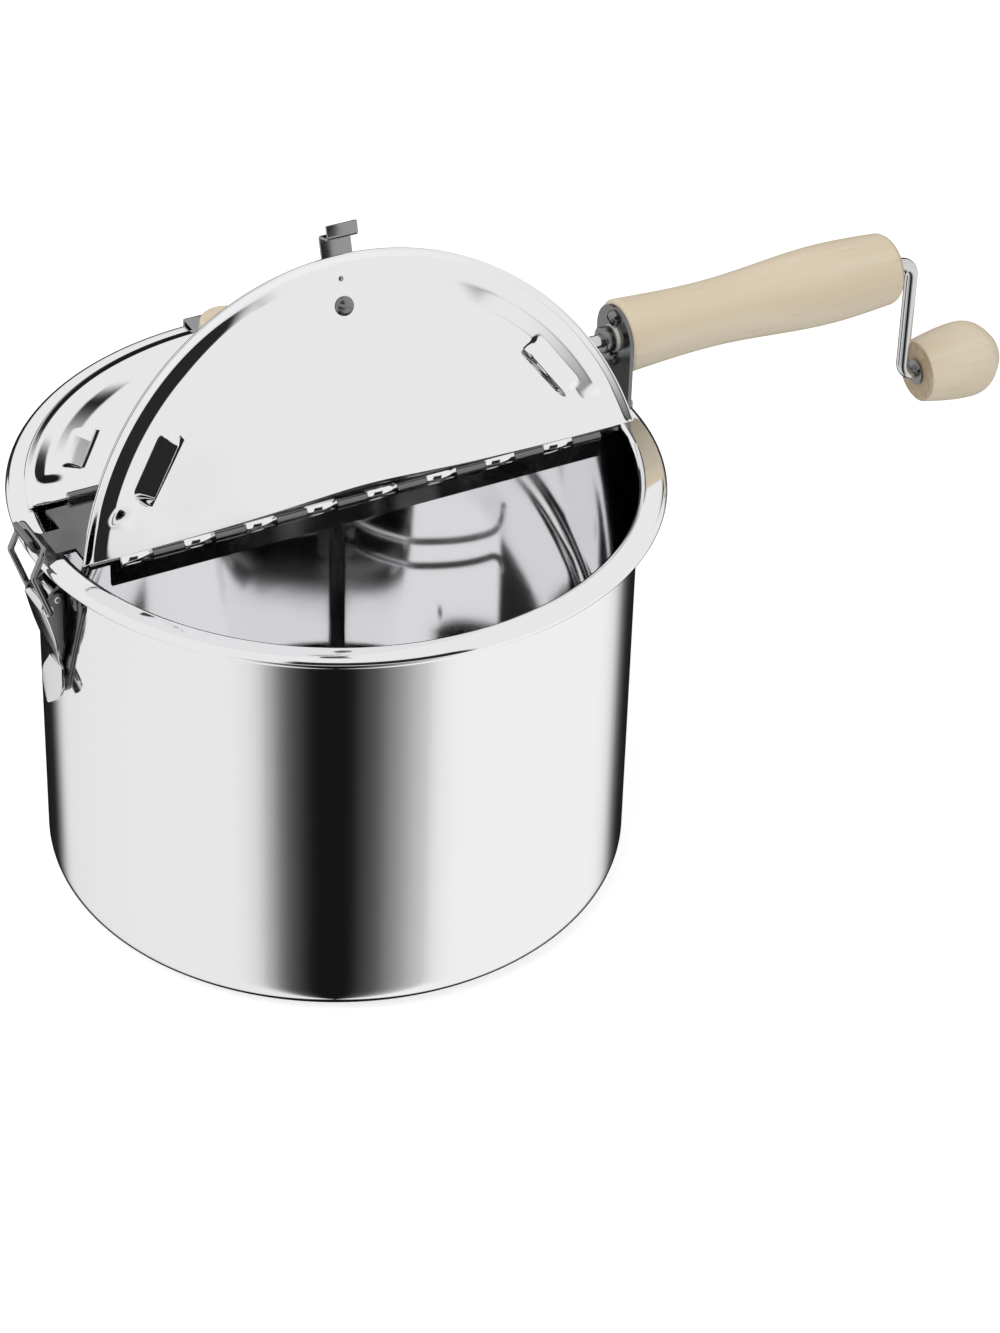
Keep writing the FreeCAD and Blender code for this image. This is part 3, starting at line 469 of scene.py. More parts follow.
def bump(tree, height, strength, distance):
    node = tree.nodes.new("ShaderNodeBump")
    sockets = [node.inputs[name] for name in ("Height", "Strength", "Distance")]
    feed(tree, sockets, (height, strength, distance))
    return node.outputs["Normal"]


def new_material(name):
    """A material, its tree, its Principled shader and its Object coordinates."""
    material = bpy.data.materials.new(name)
    material.use_nodes = True
    tree = material.node_tree
    place = tree.nodes.new("ShaderNodeTexCoord").outputs["Object"]
    return material, tree, tree.nodes["Principled BSDF"].inputs, place


print("helpers for node trees are ready")

# %% [markdown]
# The studio. A mirror shows what stands round it, so the world is built like a photographer's tent.
# It is white nearly everywhere, with a dark panel on the camera's own side, another behind the pot,
# and soft edges between them: they give the wall its black middle band and its black edges. The
# panels stand low, except at the back, where they reach up far enough to show in the rim's bead.
# Two black flags hang in front of the light, a photographer's way to draw a form in a mirror: the one
# over the camera shows in the open lid's groove and louvres, and the one at the back in the closed
# lid's. Only glossy rays see all this. The camera sees plain white, and wood is lit by an even light.

# %% World
CAMERA_AZIMUTH = float(np.arctan2(CAMERA_PLACE.y, CAMERA_PLACE.x))
PANELS = (
    (-180, 0.01), (-150, 0.02), (-128, 0.80), (-45, 0.86), (-26, 0.43), (-14, 0.05), (-5, 0.008),
    (2, 0.008), (10, 0.045), (21, 0.23), (34, 0.58), (53, 0.92), (118, 0.92), (140, 0.40), (155, 0.02),
    (180, 0.01),
)
PANEL_TOP = (-0.33, -0.24)
BACK_PANEL_RISE = 0.72
BACK_PANEL_FROM = (0.74, 0.86)
FLAG_LIGHT = 0.02
FLAGS = (
    (14, (27, 32), (-0.2, -0.1), (0.62, 0.75)),
    (160, (8, 12), (-0.4, -0.3), (0.48, 0.56)),
)
DIFFUSE_LIGHT = 0.72
SKY_LIGHT = 0.86


def panel_light(tree, round_share):
    """The brightness of the panels: a soft curve through their stops, by degrees from the camera."""
    node = tree.nodes.new("ShaderNodeFloatCurve")
    curve = node.mapping.curves[0]
    while len(curve.points) < len(PANELS):
        curve.points.new(0.5, 0.5)
    for point, (degrees, level) in zip(curve.points, PANELS):
        point.location = (degrees / 360 + 0.5, level)
        point.handle_type = "AUTO_CLAMPED"
    node.mapping.update()
    feed(tree, (node.inputs["Value"],), (round_share,))
    return node.outputs[0]


def hang_flag(tree, light, round_share, height, middle, edge, bottom, top):
    """A black cloth in front of the light: a soft-edged box in degrees from the camera and in height."""
    aside = math_node(tree, "ABSOLUTE", math_node(tree, "SUBTRACT", round_share, 0.5 + middle / 360))
    beside = smooth_between(tree, aside, edge[0] / 360, edge[1] / 360)
    over = smooth_between(tree, height, *top)
    under = math_node(tree, "SUBTRACT", 1.0, smooth_between(tree, height, *bottom))
    clear = math_node(tree, "MAXIMUM", beside, math_node(tree, "MAXIMUM", over, under))
    return mix_values(tree, clear, FLAG_LIGHT, light)


def make_world():
    """Camera rays see white; glossy rays the panels and a pale roof; matt surfaces an even grey.

    The share of the way round is 0.5 towards the camera, and 0 or 1 behind the pot.
    """
    world = bpy.data.worlds.new("studio")
    bpy.context.scene.world = world
    world.use_nodes = True
    tree = world.node_tree
    tree.nodes.clear()
    direction = tree.nodes.new("ShaderNodeSeparateXYZ")
    feed(tree, direction.inputs, (tree.nodes.new("ShaderNodeTexCoord").outputs["Generated"],))
    east, north, height = direction.outputs
    azimuth = math_node(tree, "ARCTAN2", north, east)
    from_camera = math_node(tree, "SUBTRACT", azimuth, CAMERA_AZIMUTH - 3 * pi)
    round_share = math_node(tree, "FRACT", math_node(tree, "DIVIDE", from_camera, 2 * pi))
    away = math_node(tree, "ABSOLUTE", math_node(tree, "MULTIPLY_ADD", round_share, 2.0, -1.0))
    at_back = smooth_between(tree, away, *BACK_PANEL_FROM)
    lowered = math_node(tree, "SUBTRACT", height, math_node(tree, "MULTIPLY", at_back, BACK_PANEL_RISE))
    above = smooth_between(tree, lowered, *PANEL_TOP)
    light = mix_values(tree, above, panel_light(tree, round_share), SKY_LIGHT)
    for flag in FLAGS:
        light = hang_flag(tree, light, round_share, height, *flag)
    rays = tree.nodes.new("ShaderNodeLightPath")
    light = mix_values(tree, rays.outputs["Is Glossy Ray"], DIFFUSE_LIGHT, light)
    light = mix_values(tree, rays.outputs["Is Camera Ray"], light, 1.0)
    background = tree.nodes.new("ShaderNodeBackground")
    out = tree.nodes.new("ShaderNodeOutputWorld")
    feed(tree, (background.inputs["Color"], out.inputs[0]), (light, background.outputs[0]))


make_world()
print("the studio has", len(PANELS), "stops round the horizon")

# %% [markdown]
# The floor is pale and catches the shadow. For the camera it adds just enough light of its own to
# come out white where nothing shades it. Glossy rays pass it by, so that the mirrored wall shows the
# studio's upright panels as straight bands, from the rim to the base.

# %% Floor and lamp
FLOOR_HALF = 1.5
FLOOR_COLOUR = (0.8, 0.8, 0.8)
FLOOR_GLOW = 0.5
LAMP_PLACE = Vector((-0.9, -0.5, 1.6))
LAMP_SIZE = 1.1
LAMP_POWER = 9


def make_floor():
    side = np.array([-FLOOR_HALF, FLOOR_HALF])
    x, y = np.meshgrid(side, side)
    floor = mesh_object("floor", [np.stack([x, y, 0 * x], axis=2)])
    material, tree, _, _ = new_material("floor_white")
    tree.nodes.clear()
    matt = tree.nodes.new("ShaderNodeBsdfDiffuse")
    glow = tree.nodes.new("ShaderNodeEmission")
    both = tree.nodes.new("ShaderNodeAddShader")
    out = tree.nodes.new("ShaderNodeOutputMaterial")
    to_camera = tree.nodes.new("ShaderNodeLightPath").outputs["Is Camera Ray"]
    strength = math_node(tree, "MULTIPLY", to_camera, FLOOR_GLOW)
    feed(tree, (matt.inputs["Color"], glow.inputs["Strength"]), (FLOOR_COLOUR, strength))
    feed(tree, (*both.inputs, out.inputs[0]), (matt.outputs[0], glow.outputs[0], both.outputs[0]))
    floor.data.materials.append(material)
    floor.visible_glossy = False


def make_lamp():
    data = bpy.data.lights.new("softbox", "AREA")
    data.shape = "DISK"
    data.size = LAMP_SIZE
    data.energy = LAMP_POWER
    lamp = bpy.data.objects.new("softbox", data)
    bpy.context.scene.collection.objects.link(lamp)
    lamp.location = LAMP_PLACE
    lamp.rotation_mode = "QUATERNION"
    lamp.rotation_quaternion = (CAMERA_AIM - LAMP_PLACE).to_track_quat("-Z", "Y")
    lamp.visible_glossy = False


make_floor()
make_lamp()
print("floor and softbox are in place")

# %% [markdown]
# Steel. Polished stainless is a metal with very low roughness, but never a perfect mirror: the sheet
# was pulled over a tool, so its surface rolls very gently, and hands and cloths leave faint smears
# and fine scratches. One node group makes all three, and each steel uses it with its own strengths:
# smears raise the roughness, and the roll and the scratches tilt the normal.

# %% Polish group
POLISH_INPUTS = {"Scale": 30.0, "Smooth": 0.05, "Smeared": 0.10, "Roll": 0.01, "Scratches": 0.0}
SMEAR_EDGES = (0.48, 0.72)
SCRATCH_SCALE = 900
SCRATCH_STRETCH = (1, 0.03, 0.3)


def make_polish_group():
    """From object coordinates: a roughness that smears change, and a normal that rolls slowly."""
    group = bpy.data.node_groups.new("polish", "ShaderNodeTree")
    for name, value in POLISH_INPUTS.items():
        socket = group.interface.new_socket(name=name, in_out="INPUT", socket_type="NodeSocketFloat")
        socket.default_value = value
    group.interface.new_socket(name="Roughness", in_out="OUTPUT", socket_type="NodeSocketFloat")
    group.interface.new_socket(name="Normal", in_out="OUTPUT", socket_type="NodeSocketVector")
    given = group.nodes.new("NodeGroupInput").outputs
    place = group.nodes.new("ShaderNodeTexCoord").outputs["Object"]
    smears = smooth_between(group, noise(group, place, given["Scale"], 5), *SMEAR_EDGES)
    roughness = mix_values(group, smears, given["Smooth"], given["Smeared"])
    roll = noise(group, place, given["Scale"], 1)
    scratches = noise(group, place, SCRATCH_SCALE, 2, SCRATCH_STRETCH)
    height = math_node(group, "ADD", roll, math_node(group, "MULTIPLY", scratches, given["Scratches"]))
    outside = group.nodes.new("NodeGroupOutput")
    feed(group, outside.inputs, (roughness, bump(group, height, given["Roll"], MM)))
    return group


POLISH = make_polish_group()
print("node group", POLISH.name, "is ready")

# %% [markdown]
# The pot and its lids are stainless, nearly white. The bar, the latch and the screws are plated
# steel, which is darker and a little satin, and shows the tent in softer patches.

# %% Steels
COOL_TINT = 1.01


def steel(name, brightness, *strengths):
    """A metal of one brightness; the strengths are the polish group's inputs, in their order."""
    material, tree, shader, _ = new_material(name)
    shader["Base Color"].default_value = (brightness, brightness, brightness * COOL_TINT, 1)
    shader["Metallic"].default_value = 1
    polish = tree.nodes.new("ShaderNodeGroup")
    polish.node_tree = POLISH
    feed(tree, polish.inputs, strengths)
    feed(tree, (shader["Roughness"], shader["Normal"]), polish.outputs)
    return material


POT_STEEL = steel("pot_steel", 0.93, 18, 0.05, 0.10, 0.012, 0.0)
LID_STEEL = steel("lid_steel", 0.93, 22, 0.05, 0.11, 0.012, 0.0)
BAR_STEEL = steel("bar_steel", 0.20, 45, 0.20, 0.34, 0.04, 0.1)
LATCH_STEEL = steel("latch_steel", 0.15, 60, 0.18, 0.30, 0.05, 0.1)
BRIGHT_PLATE = steel("bright_plate", 0.80, 60, 0.12, 0.24, 0.04, 0.1)
SPRING_STEEL = steel("spring_steel", 0.34, 60, 0.14, 0.26, 0.04, 0.1)
WIRE_STEEL = steel("wire_steel", 0.70, 60, 0.10, 0.18, 0.02, 0.05)
BAIL_STEEL = steel("bail_steel", 0.32, 60, 0.16, 0.28, 0.03, 0.1)
SCREW_STEEL = steel("screw_steel", 0.25, 90, 0.24, 0.40, 0.06, 0.2)
GEAR_METAL = steel("gear_metal", 0.45, 120, 0.32, 0.50, 0.12, 0.2)
print("ten steels from one group")

# %% [markdown]
# Wood. Turned, lacquered beech is pale cream. Its grain is fine streaks along the stick, made from a
# noise drawn out in that direction, with short darker flecks and broad soft bands from the growth
# rings. Noise in Object coordinates runs through the piece as real grain does, where a wrapped pattern
# would show a seam. Across the ends the cut fibres drink the lacquer and turn brown, and the brown used
# there is darkened further as painted shade for the end faces, so it is end grain and painted shade at
# once. A mask from the piece's own UV map, whose second number runs along the turned profile, darkens
# the end faces, and most of all the edge of the bore, where a near-black colour is painted shadow.

# %% Wood
CREAM = (0.80, 0.70, 0.54)
STRAW = (0.70, 0.57, 0.39)
FLECK = (0.50, 0.35, 0.20)
# Painted shade: the end grain's own brown, darkened further for the shade that falls on the end faces.
END_GRAIN_AND_SHADE = (0.22, 0.13, 0.062)
# Painted shadow: a near-black colour for the dark inside and edge of the bore round the rod.
BORE_PAINTED_SHADOW = (0.03, 0.02, 0.012)
GRIP_STREAKS = (0.05, 1, 1)
UPRIGHT_STREAKS = (1, 1, 0.08)
STREAK_SCALE, BAND_SCALE, FLECK_SCALE = 420, 60, 900
STREAK_EDGES, BAND_EDGES, FLECK_EDGES = (0.45, 0.8), (0.35, 0.7), (0.66, 0.78)
STREAK_SHARE, BAND_SHARE, FLECK_SHARE, END_SHARE = 0.45, 0.7, 0.35, 0.85
NEAR_BLEND, FAR_BLEND, BORE_BLEND = 0.93, 0.1, 1.4
WOOD_ROUGHNESS = (0.40, 0.56)
GRAIN_STRENGTH, GRAIN_DEPTH = 0.25, 0.2 * MM


def wood(name, stretch, near_end=0.0, far_end=1.0, bore=0.0):
    """Pale turned wood; the end faces get brown end grain with painted shade, and the bore a painted
    near-black shadow. The ends and the bore are shares of the profile, and 0 and 1 leave them out.
    """
    material, tree, shader, place = new_material(name)
    streaks = noise(tree, place, STREAK_SCALE, 6, stretch)
    bands = smooth_between(tree, noise(tree, place, BAND_SCALE, 2, stretch), *BAND_EDGES)
    flecks = smooth_between(tree, noise(tree, place, FLECK_SCALE, 2, stretch), *FLECK_EDGES)
    fine = smooth_between(tree, streaks, *STREAK_EDGES)
    colour = mix_colours(tree, math_node(tree, "MULTIPLY", bands, BAND_SHARE), CREAM, STRAW)
    colour = mix_colours(tree, math_node(tree, "MULTIPLY", fine, STREAK_SHARE), colour, STRAW)
    colour = mix_colours(tree, math_node(tree, "MULTIPLY", flecks, FLECK_SHARE), colour, FLECK)
    if near_end:
        parts = tree.nodes.new("ShaderNodeSeparateXYZ")
        feed(tree, parts.inputs, (tree.nodes.new("ShaderNodeUVMap").outputs[0],))
        along = parts.outputs[1]
        past_near = smooth_between(tree, along, near_end * NEAR_BLEND, near_end)
        near = math_node(tree, "SUBTRACT", 1.0, past_near)
        far = smooth_between(tree, along, far_end, far_end + (1 - far_end) * FAR_BLEND)
        # The end faces get brown end grain with painted shade mixed into it.
        end_colour = mix_colours(tree, streaks, END_GRAIN_AND_SHADE, STRAW)
        ends = math_node(tree, "MULTIPLY", math_node(tree, "MAXIMUM", near, far), END_SHARE)
        colour = mix_colours(tree, ends, colour, end_colour)
        # Painted shadow: the inside and the edge of the bore are coloured near-black.
        past_bore = smooth_between(tree, along, bore, bore * BORE_BLEND)
        painted_bore_shadow = math_node(tree, "SUBTRACT", 1.0, past_bore)
        colour = mix_colours(tree, painted_bore_shadow, colour, BORE_PAINTED_SHADOW)
    roughness = mix_values(tree, streaks, *WOOD_ROUGHNESS)
    normal = bump(tree, streaks, GRAIN_STRENGTH, GRAIN_DEPTH)
    feed(tree, (shader["Base Color"], shader["Roughness"], shader["Normal"]), (colour, roughness, normal))
    return material


print("wood is a function of the grain's direction")

# %% [markdown]
# The bushes that the rod and the shaft turn in are natural nylon: off-white, slightly waxy, and
# faintly clouded. One plain colour would look like paint, so a slow noise clouds the colour and the
# roughness, and a little light goes in under the surface.

# %% Nylon
NYLON_DARK = (0.72, 0.70, 0.62)
NYLON_PALE = (0.84, 0.82, 0.76)
NYLON_ROUGHNESS = (0.32, 0.5)
NYLON_CLOUD = 240
NYLON_WAX = 0.15


def make_nylon():
    material, tree, shader, place = new_material("natural_nylon")
    cloud = noise(tree, place, NYLON_CLOUD, 3)
    colour = mix_colours(tree, cloud, NYLON_DARK, NYLON_PALE)
    roughness = mix_values(tree, cloud, *NYLON_ROUGHNESS)
    feed(tree, (shader["Base Color"], shader["Roughness"]), (colour, roughness))
    shader["Subsurface Weight"].default_value = NYLON_WAX
    shader["Subsurface Scale"].default_value = MM
    return material


NYLON = make_nylon()
print("nylon is ready")

# %% [markdown]
# The pot is one drawn sheet: a flat base, a rounded corner, a straight wall, a soft bend out to a
# flat flange, and a bead rolled at its edge. A single line with a Solidify modifier could make the
# wall, but not the bead, where the sheet closes on itself. So the profile is drawn whole, out of
# straight stretches and arcs, and turning it gives inside and outside at once. Through the bend the
# sheet keeps its thickness, so the outer arc is smaller than the inner one.

# %% Pot
BASE_CORNER = 12 * MM
FLARE_BEND = 2.5 * MM
BEAD_RADIUS = 2.1 * MM
BEND_MARGIN = 4 * MM
POT_STEPS = 288


def pot_profile():
    """Height and radius: under the base, up the outside, round the bead and down the inside."""
    corner = (BASE_CORNER, WALL_RADIUS - BASE_CORNER)
    flare = (RIM_TOP - SHEET - FLARE_BEND, WALL_RADIUS + FLARE_BEND)
    bead = (RIM_TOP - BEAD_RADIUS, RIM_RADIUS - BEAD_RADIUS)
    meets = 180 - np.degrees(np.arcsin(1 - SHEET / BEAD_RADIUS))
    low, high = corner[0] + BEND_MARGIN, flare[0] - BEND_MARGIN
    inside = WALL_RADIUS - SHEET
    return np.concatenate([
        straight((0, 0), (0, corner[1]), 6)[:-1], arc(corner, BASE_CORNER, -90, 0, 18),
        straight((low, WALL_RADIUS), (high, WALL_RADIUS), 10), arc(flare, FLARE_BEND, 180, 90, 10),
        arc(bead, BEAD_RADIUS, meets, 450, 36), arc(flare, FLARE_BEND + SHEET, 90, 180, 12),
        straight((high, inside), (low, inside), 10), arc(corner, BASE_CORNER - SHEET, 0, -90, 16),
        straight((SHEET, corner[1]), (SHEET, 0), 6)[1:],
    ])


pot_grid = turned(pot_profile(), (0, 0, 0), (0, 0, 1), POT_STEPS)
make_piece("pot", [pot_grid], [POT_STEEL], "pot_assembly", "pot_body")

# %% [markdown]
# The grip, the crank's knob and the lids' knobs are turned on a lathe. The long ones are a smooth
# curve through a few radii. A subdivided cage could make it, but its radii would have to be found by
# trial. A natural cubic curve goes through them exactly: it is what a bent batten gives, and what a
# turner's eye follows. It comes from one small linear system for its bending at each point.

# %% Turned wood


def batten(places, values, at):
    """The natural cubic curve through (places, values), read at the given places."""
    x, y, at = (np.asarray(a, float) for a in (places, values, at))
    h = np.diff(x)
    system = np.diag(np.r_[1, 2 * (h[:-1] + h[1:]), 1])
    inner = np.arange(1, len(x) - 1)
    system[inner, inner - 1] = h[:-1]
    system[inner, inner + 1] = h[1:]
    bending = np.linalg.solve(system, np.r_[0, 6 * np.diff(np.diff(y) / h), 0])
    i = np.clip(np.searchsorted(x, at) - 1, 0, len(h) - 1)
    a, b = x[i + 1] - at, at - x[i]
    curved = (bending[i] * a ** 3 + bending[i + 1] * b ** 3) / (6 * h[i])
    level = (y[i] / h[i] - bending[i] * h[i] / 6) * a + (y[i + 1] / h[i] - bending[i + 1] * h[i] / 6) * b
    return curved + level


GRIP_LENGTH = GRIP_HIGH[0] - GRIP_LOW[0]
GRIP_END_RADIUS = 14 * MM
GRIP_EDGES = np.array([1.5, 4]) * MM
GRIP_PLACES = np.array([43, 90]) * MM
GRIP_RADII = np.array([12.6, 15.3]) * MM
BORE = ROD_RADIUS + 0.7 * MM
BORE_DEPTH = 8 * MM


def grip_profile():
    """Bore, near face, small edge, waist, belly, rounded far end and back into the bore."""
    near, far = GRIP_EDGES
    places = np.r_[near, GRIP_PLACES, GRIP_LENGTH - far]
    along = np.linspace(places[0], places[-1], 60)[1:-1]
    curve = batten(places, np.r_[GRIP_END_RADIUS, GRIP_RADII, GRIP_END_RADIUS], along)
    return np.concatenate([
        [(BORE_DEPTH, BORE)], straight((0, BORE), (0, GRIP_END_RADIUS - near), 8),
        arc((near, GRIP_END_RADIUS - near), near, -90, 0, 7)[1:], np.stack([along, curve], axis=1),
        arc((GRIP_LENGTH - far, GRIP_END_RADIUS - far), far, 0, 90, 10),
        straight((GRIP_LENGTH, GRIP_END_RADIUS - far), (GRIP_LENGTH, BORE), 6)[1:],
        [(GRIP_LENGTH - BORE_DEPTH, BORE)],
    ])


print("the grip is", round(GRIP_LENGTH / MM, 1), "mm long")

# %% Crank's knob
KNOB_LENGTH = KNOB_HIGH[0] - KNOB_LOW[0]
KNOB_PLACES = np.array([0, 19.5 * MM, 0.85 * KNOB_LENGTH, KNOB_LENGTH])
KNOB_RADII = np.array([12.2, 15.1, 12.7, 7.5]) * MM
KNOB_BORE = ROD_RADIUS + 0.4 * MM
RECESS = 5.5 * MM
KNOB_EDGE = 0.6 * MM
# Where the end faces end and the bore begins, as shares of the profiles: near end, far end, bore.
GRIP_MARKS = np.array([8, 84, 1.2]) / 98
KNOB_MARKS = np.array([8.6, 58, 1.2]) / 63


def crank_knob_profile():
    """Bore, flat face, belly, and a rounded far end with the recess for the push nut."""
    along = np.linspace(KNOB_EDGE, KNOB_LENGTH, 50)
    curve = batten(KNOB_PLACES, KNOB_RADII, along)
    floor = KNOB_LENGTH - RECESS
    return np.concatenate([
        [(BORE_DEPTH, KNOB_BORE)], straight((0, KNOB_BORE), (0, KNOB_RADII[0] - KNOB_EDGE), 8),
        np.stack([along, curve], axis=1), straight((KNOB_LENGTH, RECESS + KNOB_EDGE), (floor, RECESS), 4),
        [(floor, KNOB_BORE)],
    ])


GRIP_WOOD = wood("grip_wood", GRIP_STREAKS, *GRIP_MARKS)
KNOB_WOOD = wood("knob_wood", GRIP_STREAKS, *KNOB_MARKS)
grip_grid = turned(grip_profile(), (GRIP_LOW[0], 0, CRANK_AXIS_Z), (1, 0, 0))
knob_grid = turned(crank_knob_profile(), (KNOB_LOW[0], 0, KNOB_AXIS_Z), (1, 0, 0))
make_piece("grip", [grip_grid], [GRIP_WOOD], "pot_assembly", "handle_grip")
make_piece("knob", [knob_grid], [KNOB_WOOD], "crank_knob", "crank_knob")

# %% [markdown]
# The lids are pressed from one sheet each. Seen from above a half lid is a fan of radii, cut off
# straight beside the bar, so its grid runs along radii and round the rim. Its height is a sum of
# what the press tool did: a raised shoulder beside the edge, two stiffening grooves pressed in behind
# it, and two louvred vents pressed in deeper. A louvre is slit along its inner side, so the lid is two
# grids that meet along that line, and where the outer one is pressed in the slit stands open. Merging
# doubles joins them everywhere else, and a Solidify modifier gives the sheet its thickness.

# %% Lid sheet
LID_RADIUS = span("rear_lid")[1][1]
LID_SHEET = 0.8 * MM
CURL_RADIUS = 1.55 * MM
LID_LEVEL = HINGE_Z - CURL_RADIUS
LID_TOP = LID_LEVEL + LID_SHEET / 2
LID_BOTTOM = LID_LEVEL - LID_SHEET / 2
LID_EDGE_Y = HINGE_Y + 2.5 * MM
RIB_EDGES = LID_RADIUS - np.array([3.2, 7.6, 15.8]) * MM
RIB_DEPTH = 0.95 * MM
SHOULDER = 0.6 * MM
RIB_SPAN = np.radians((17, 70))
RIB_TAPERS = np.radians((20, 5))
VENT_RADIUS = LID_RADIUS - 21.3 * MM
VENT_AZIMUTH = radians(34.5)
VENT_HALF_LENGTH = 13.5 * MM
VENT_REACH = 7.5 * MM
VENT_DEPTH = 2.8 * MM
VENT_RAMP = 4 * MM
VENT_HALF_ANGLE = radians(8.4)
PRESS_ROUNDING = 0.14
LID_COLUMNS = 386
LID_ROWS = (24, 64)


def smooth_step(t):
    """0 up to 0, 1 from 1 on, and 3 t squared less 2 t cubed between them."""
    t = np.clip(t, 0, 1)
    return t * t * (3 - 2 * t)


def pressed_ramp(t):
    """A straight ramp from 0 at 0 to 1 at 1, with both of its corners rounded over by the press tool.

    It is soft(t) less soft(t - 1), where soft is 0 below -e, t above e and (t + e) squared / 4 e between.
    """
    e = PRESS_ROUNDING

    def soft(value):
        return np.where(value > e, value, np.clip(value + e, 0, None) ** 2 / (4 * e))

    return soft(t) - soft(t - 1)


def rib_rise(radius, azimuth):
    """A raised shoulder that falls to the lid's edge, and two mirrored grooves inside it.

    The shoulder is the product of a ramp up from the edge and a ramp down to the groove's bottom. A
    groove has a steep outer and a gentler inner flank, and is faded out at both ends.
    """
    outer, bottom, inner = RIB_EDGES
    reach = 1 + PRESS_ROUNDING
    across = reach * np.minimum((outer - radius) / (outer - bottom), (radius - inner) / (bottom - inner))
    from_middle = np.abs(azimuth - pi / 2)
    start, stop = RIB_SPAN
    fade_in, fade_out = RIB_TAPERS
    ends = smooth_step((from_middle - start) / fade_in) * smooth_step((stop - from_middle) / fade_out)
    falling = pressed_ramp((LID_RADIUS - radius) / (LID_RADIUS - outer) - PRESS_ROUNDING)
    rising = pressed_ramp((radius - bottom) / (outer - bottom))
    return SHOULDER * falling * rising - RIB_DEPTH * pressed_ramp(across) * ends


def vent_rise(x, y):
    """Full depth at the slit, rising straight outwards; ramps at both ends; two vents, mirrored."""
    c, s = cos(VENT_AZIMUTH), sin(VENT_AZIMUTH)
    outward = (np.abs(x) * c + y * s - VENT_RADIUS) / VENT_REACH
    along = np.abs(y * c - np.abs(x) * s)
    return -VENT_DEPTH * smooth_step((VENT_HALF_LENGTH - along) / VENT_RAMP) * pressed_ramp(1 - outward)


def lid_grids():
    """Inner and outer grid of the rear lid's sheet, closed; the slits of the vents lie between them."""
    first = np.arcsin(LID_EDGE_Y / LID_RADIUS)
    azimuth = np.linspace(first, pi - first, LID_COLUMNS)
    cut = LID_EDGE_Y / np.sin(azimuth)
    from_vent = np.minimum(azimuth, pi - azimuth) - VENT_AZIMUTH
    from_vent = np.clip(from_vent, -VENT_HALF_ANGLE, VENT_HALF_ANGLE)
    slit = np.maximum(VENT_RADIUS / np.cos(from_vent), (cut + LID_RADIUS) / 2)
    edge = np.full_like(slit, LID_RADIUS)
    grids = []
    for start, stop, rows in zip((cut, slit), (slit, edge), LID_ROWS):
        share = np.linspace(0, 1, rows)[:, None]
        radius = (1 - share) * start + share * stop
        x, y = radius * np.cos(azimuth), radius * np.sin(azimuth)
        rise = rib_rise(radius, azimuth)
        if start is slit:
            rise = rise + vent_rise(x, y)
        grids.append(np.stack([x, y, LID_LEVEL + rise], axis=2))
    return grids


print("lid sheet:", sum(grid.shape[0] * grid.shape[1] for grid in lid_grids()), "points")

# %% [markdown]
# At its straight side the sheet has eight tongues. Each is rolled nearly all the way round the hinge
# pin, as on any pressed hinge, between the knuckles of the bar. They are small grids in the lid's own
# mesh, so that the same modifier gives them the sheet's thickness.

# %% Hinge tongues
KNUCKLE_PITCH = 12 * MM
KNUCKLE_GAP = 0.15 * MM
KNUCKLES = 16
CURL_TURN = radians(300)


def tongues():
    """The sheet's middle line: out along the sheet, then round the pin, one grid for each tongue."""
    t = np.linspace(0, CURL_TURN, 26)
    y = np.r_[LID_EDGE_Y, HINGE_Y - CURL_RADIUS * np.sin(t)]
    z = np.r_[LID_LEVEL, HINGE_Z - CURL_RADIUS * np.cos(t)]
    sides = np.array([-1, 1]) * (KNUCKLE_PITCH / 2 - KNUCKLE_GAP)
    grids = []
    for number in range(1, KNUCKLES, 2):
        x = (number + 0.5 - KNUCKLES / 2) * KNUCKLE_PITCH + sides
        grids.append(np.stack(np.broadcast_arrays(x[None], y[:, None], z[:, None]), axis=2))
    return grids


print("tongues for one lid:", len(tongues()))

# %% [markdown]
# On each lid sit a strip that grips the pot's rim, bent down and out into a finger lip, a turned
# wooden knob on top of it, and one screw from below that holds all three. The screw's round head has
# a real slot. A Boolean modifier could cut it, but would leave thin triangles that catch the light, so
# its grid is a disc whose columns bunch up at the slot's two sides, where the height drops to the
# slot's floor.

# %% Lid furniture
SCREW_Y = LID_RADIUS - 18.5 * MM
NUB_Y = LID_RADIUS - 8.5 * MM
STRIP_SHEET = 1.0 * MM
STRIP_HALF_WIDTH = 6 * MM
UPRIGHT_WOOD = wood("lid_knob_wood", UPRIGHT_STREAKS)
SLOT_HALF, SLOT_DEPTH, SLOT_FLANK = 0.15, 0.55, 0.004
DOME_POWER = 0.35


def slotted_head(radius, height, centre, axis, along):
    """Two grids: a low dome cut by a slot that runs along one direction, and its flat underside.

    A point of the disc is (u, v * sqrt(1 - u * u)) * radius, and the dome stands
    height * (1 - r * r / radius ** 2) ** 0.35 over it, or no higher than the floor inside the slot.
    """
    sides = np.array([-SLOT_HALF - SLOT_FLANK, -SLOT_HALF, SLOT_HALF, SLOT_HALF + SLOT_FLANK])
    u = np.unique(np.r_[np.sin(np.linspace(-pi / 2, pi / 2, 23)), sides])
    v = np.sin(np.linspace(-pi / 2, pi / 2, 17))[:, None]
    x, y = u + 0 * v, v * np.sqrt(1 - np.minimum(u * u, 1))
    dome = np.maximum(1 - x * x - y * y, 0) ** DOME_POWER
    in_slot = np.abs(x) <= SLOT_HALF + SLOT_FLANK / 2
    dome = np.where(in_slot, np.minimum(dome, 1 - SLOT_DEPTH), dome)
    axis, along = unit(axis), unit(along)
    side = np.cross(axis, along)
    disc = np.asarray(centre) + radius * (x[..., None] * side + y[..., None] * along)
    return [disc + height * dome[..., None] * axis, disc]


print("a slot is", 2 * SLOT_HALF, "of the head's radius wide")

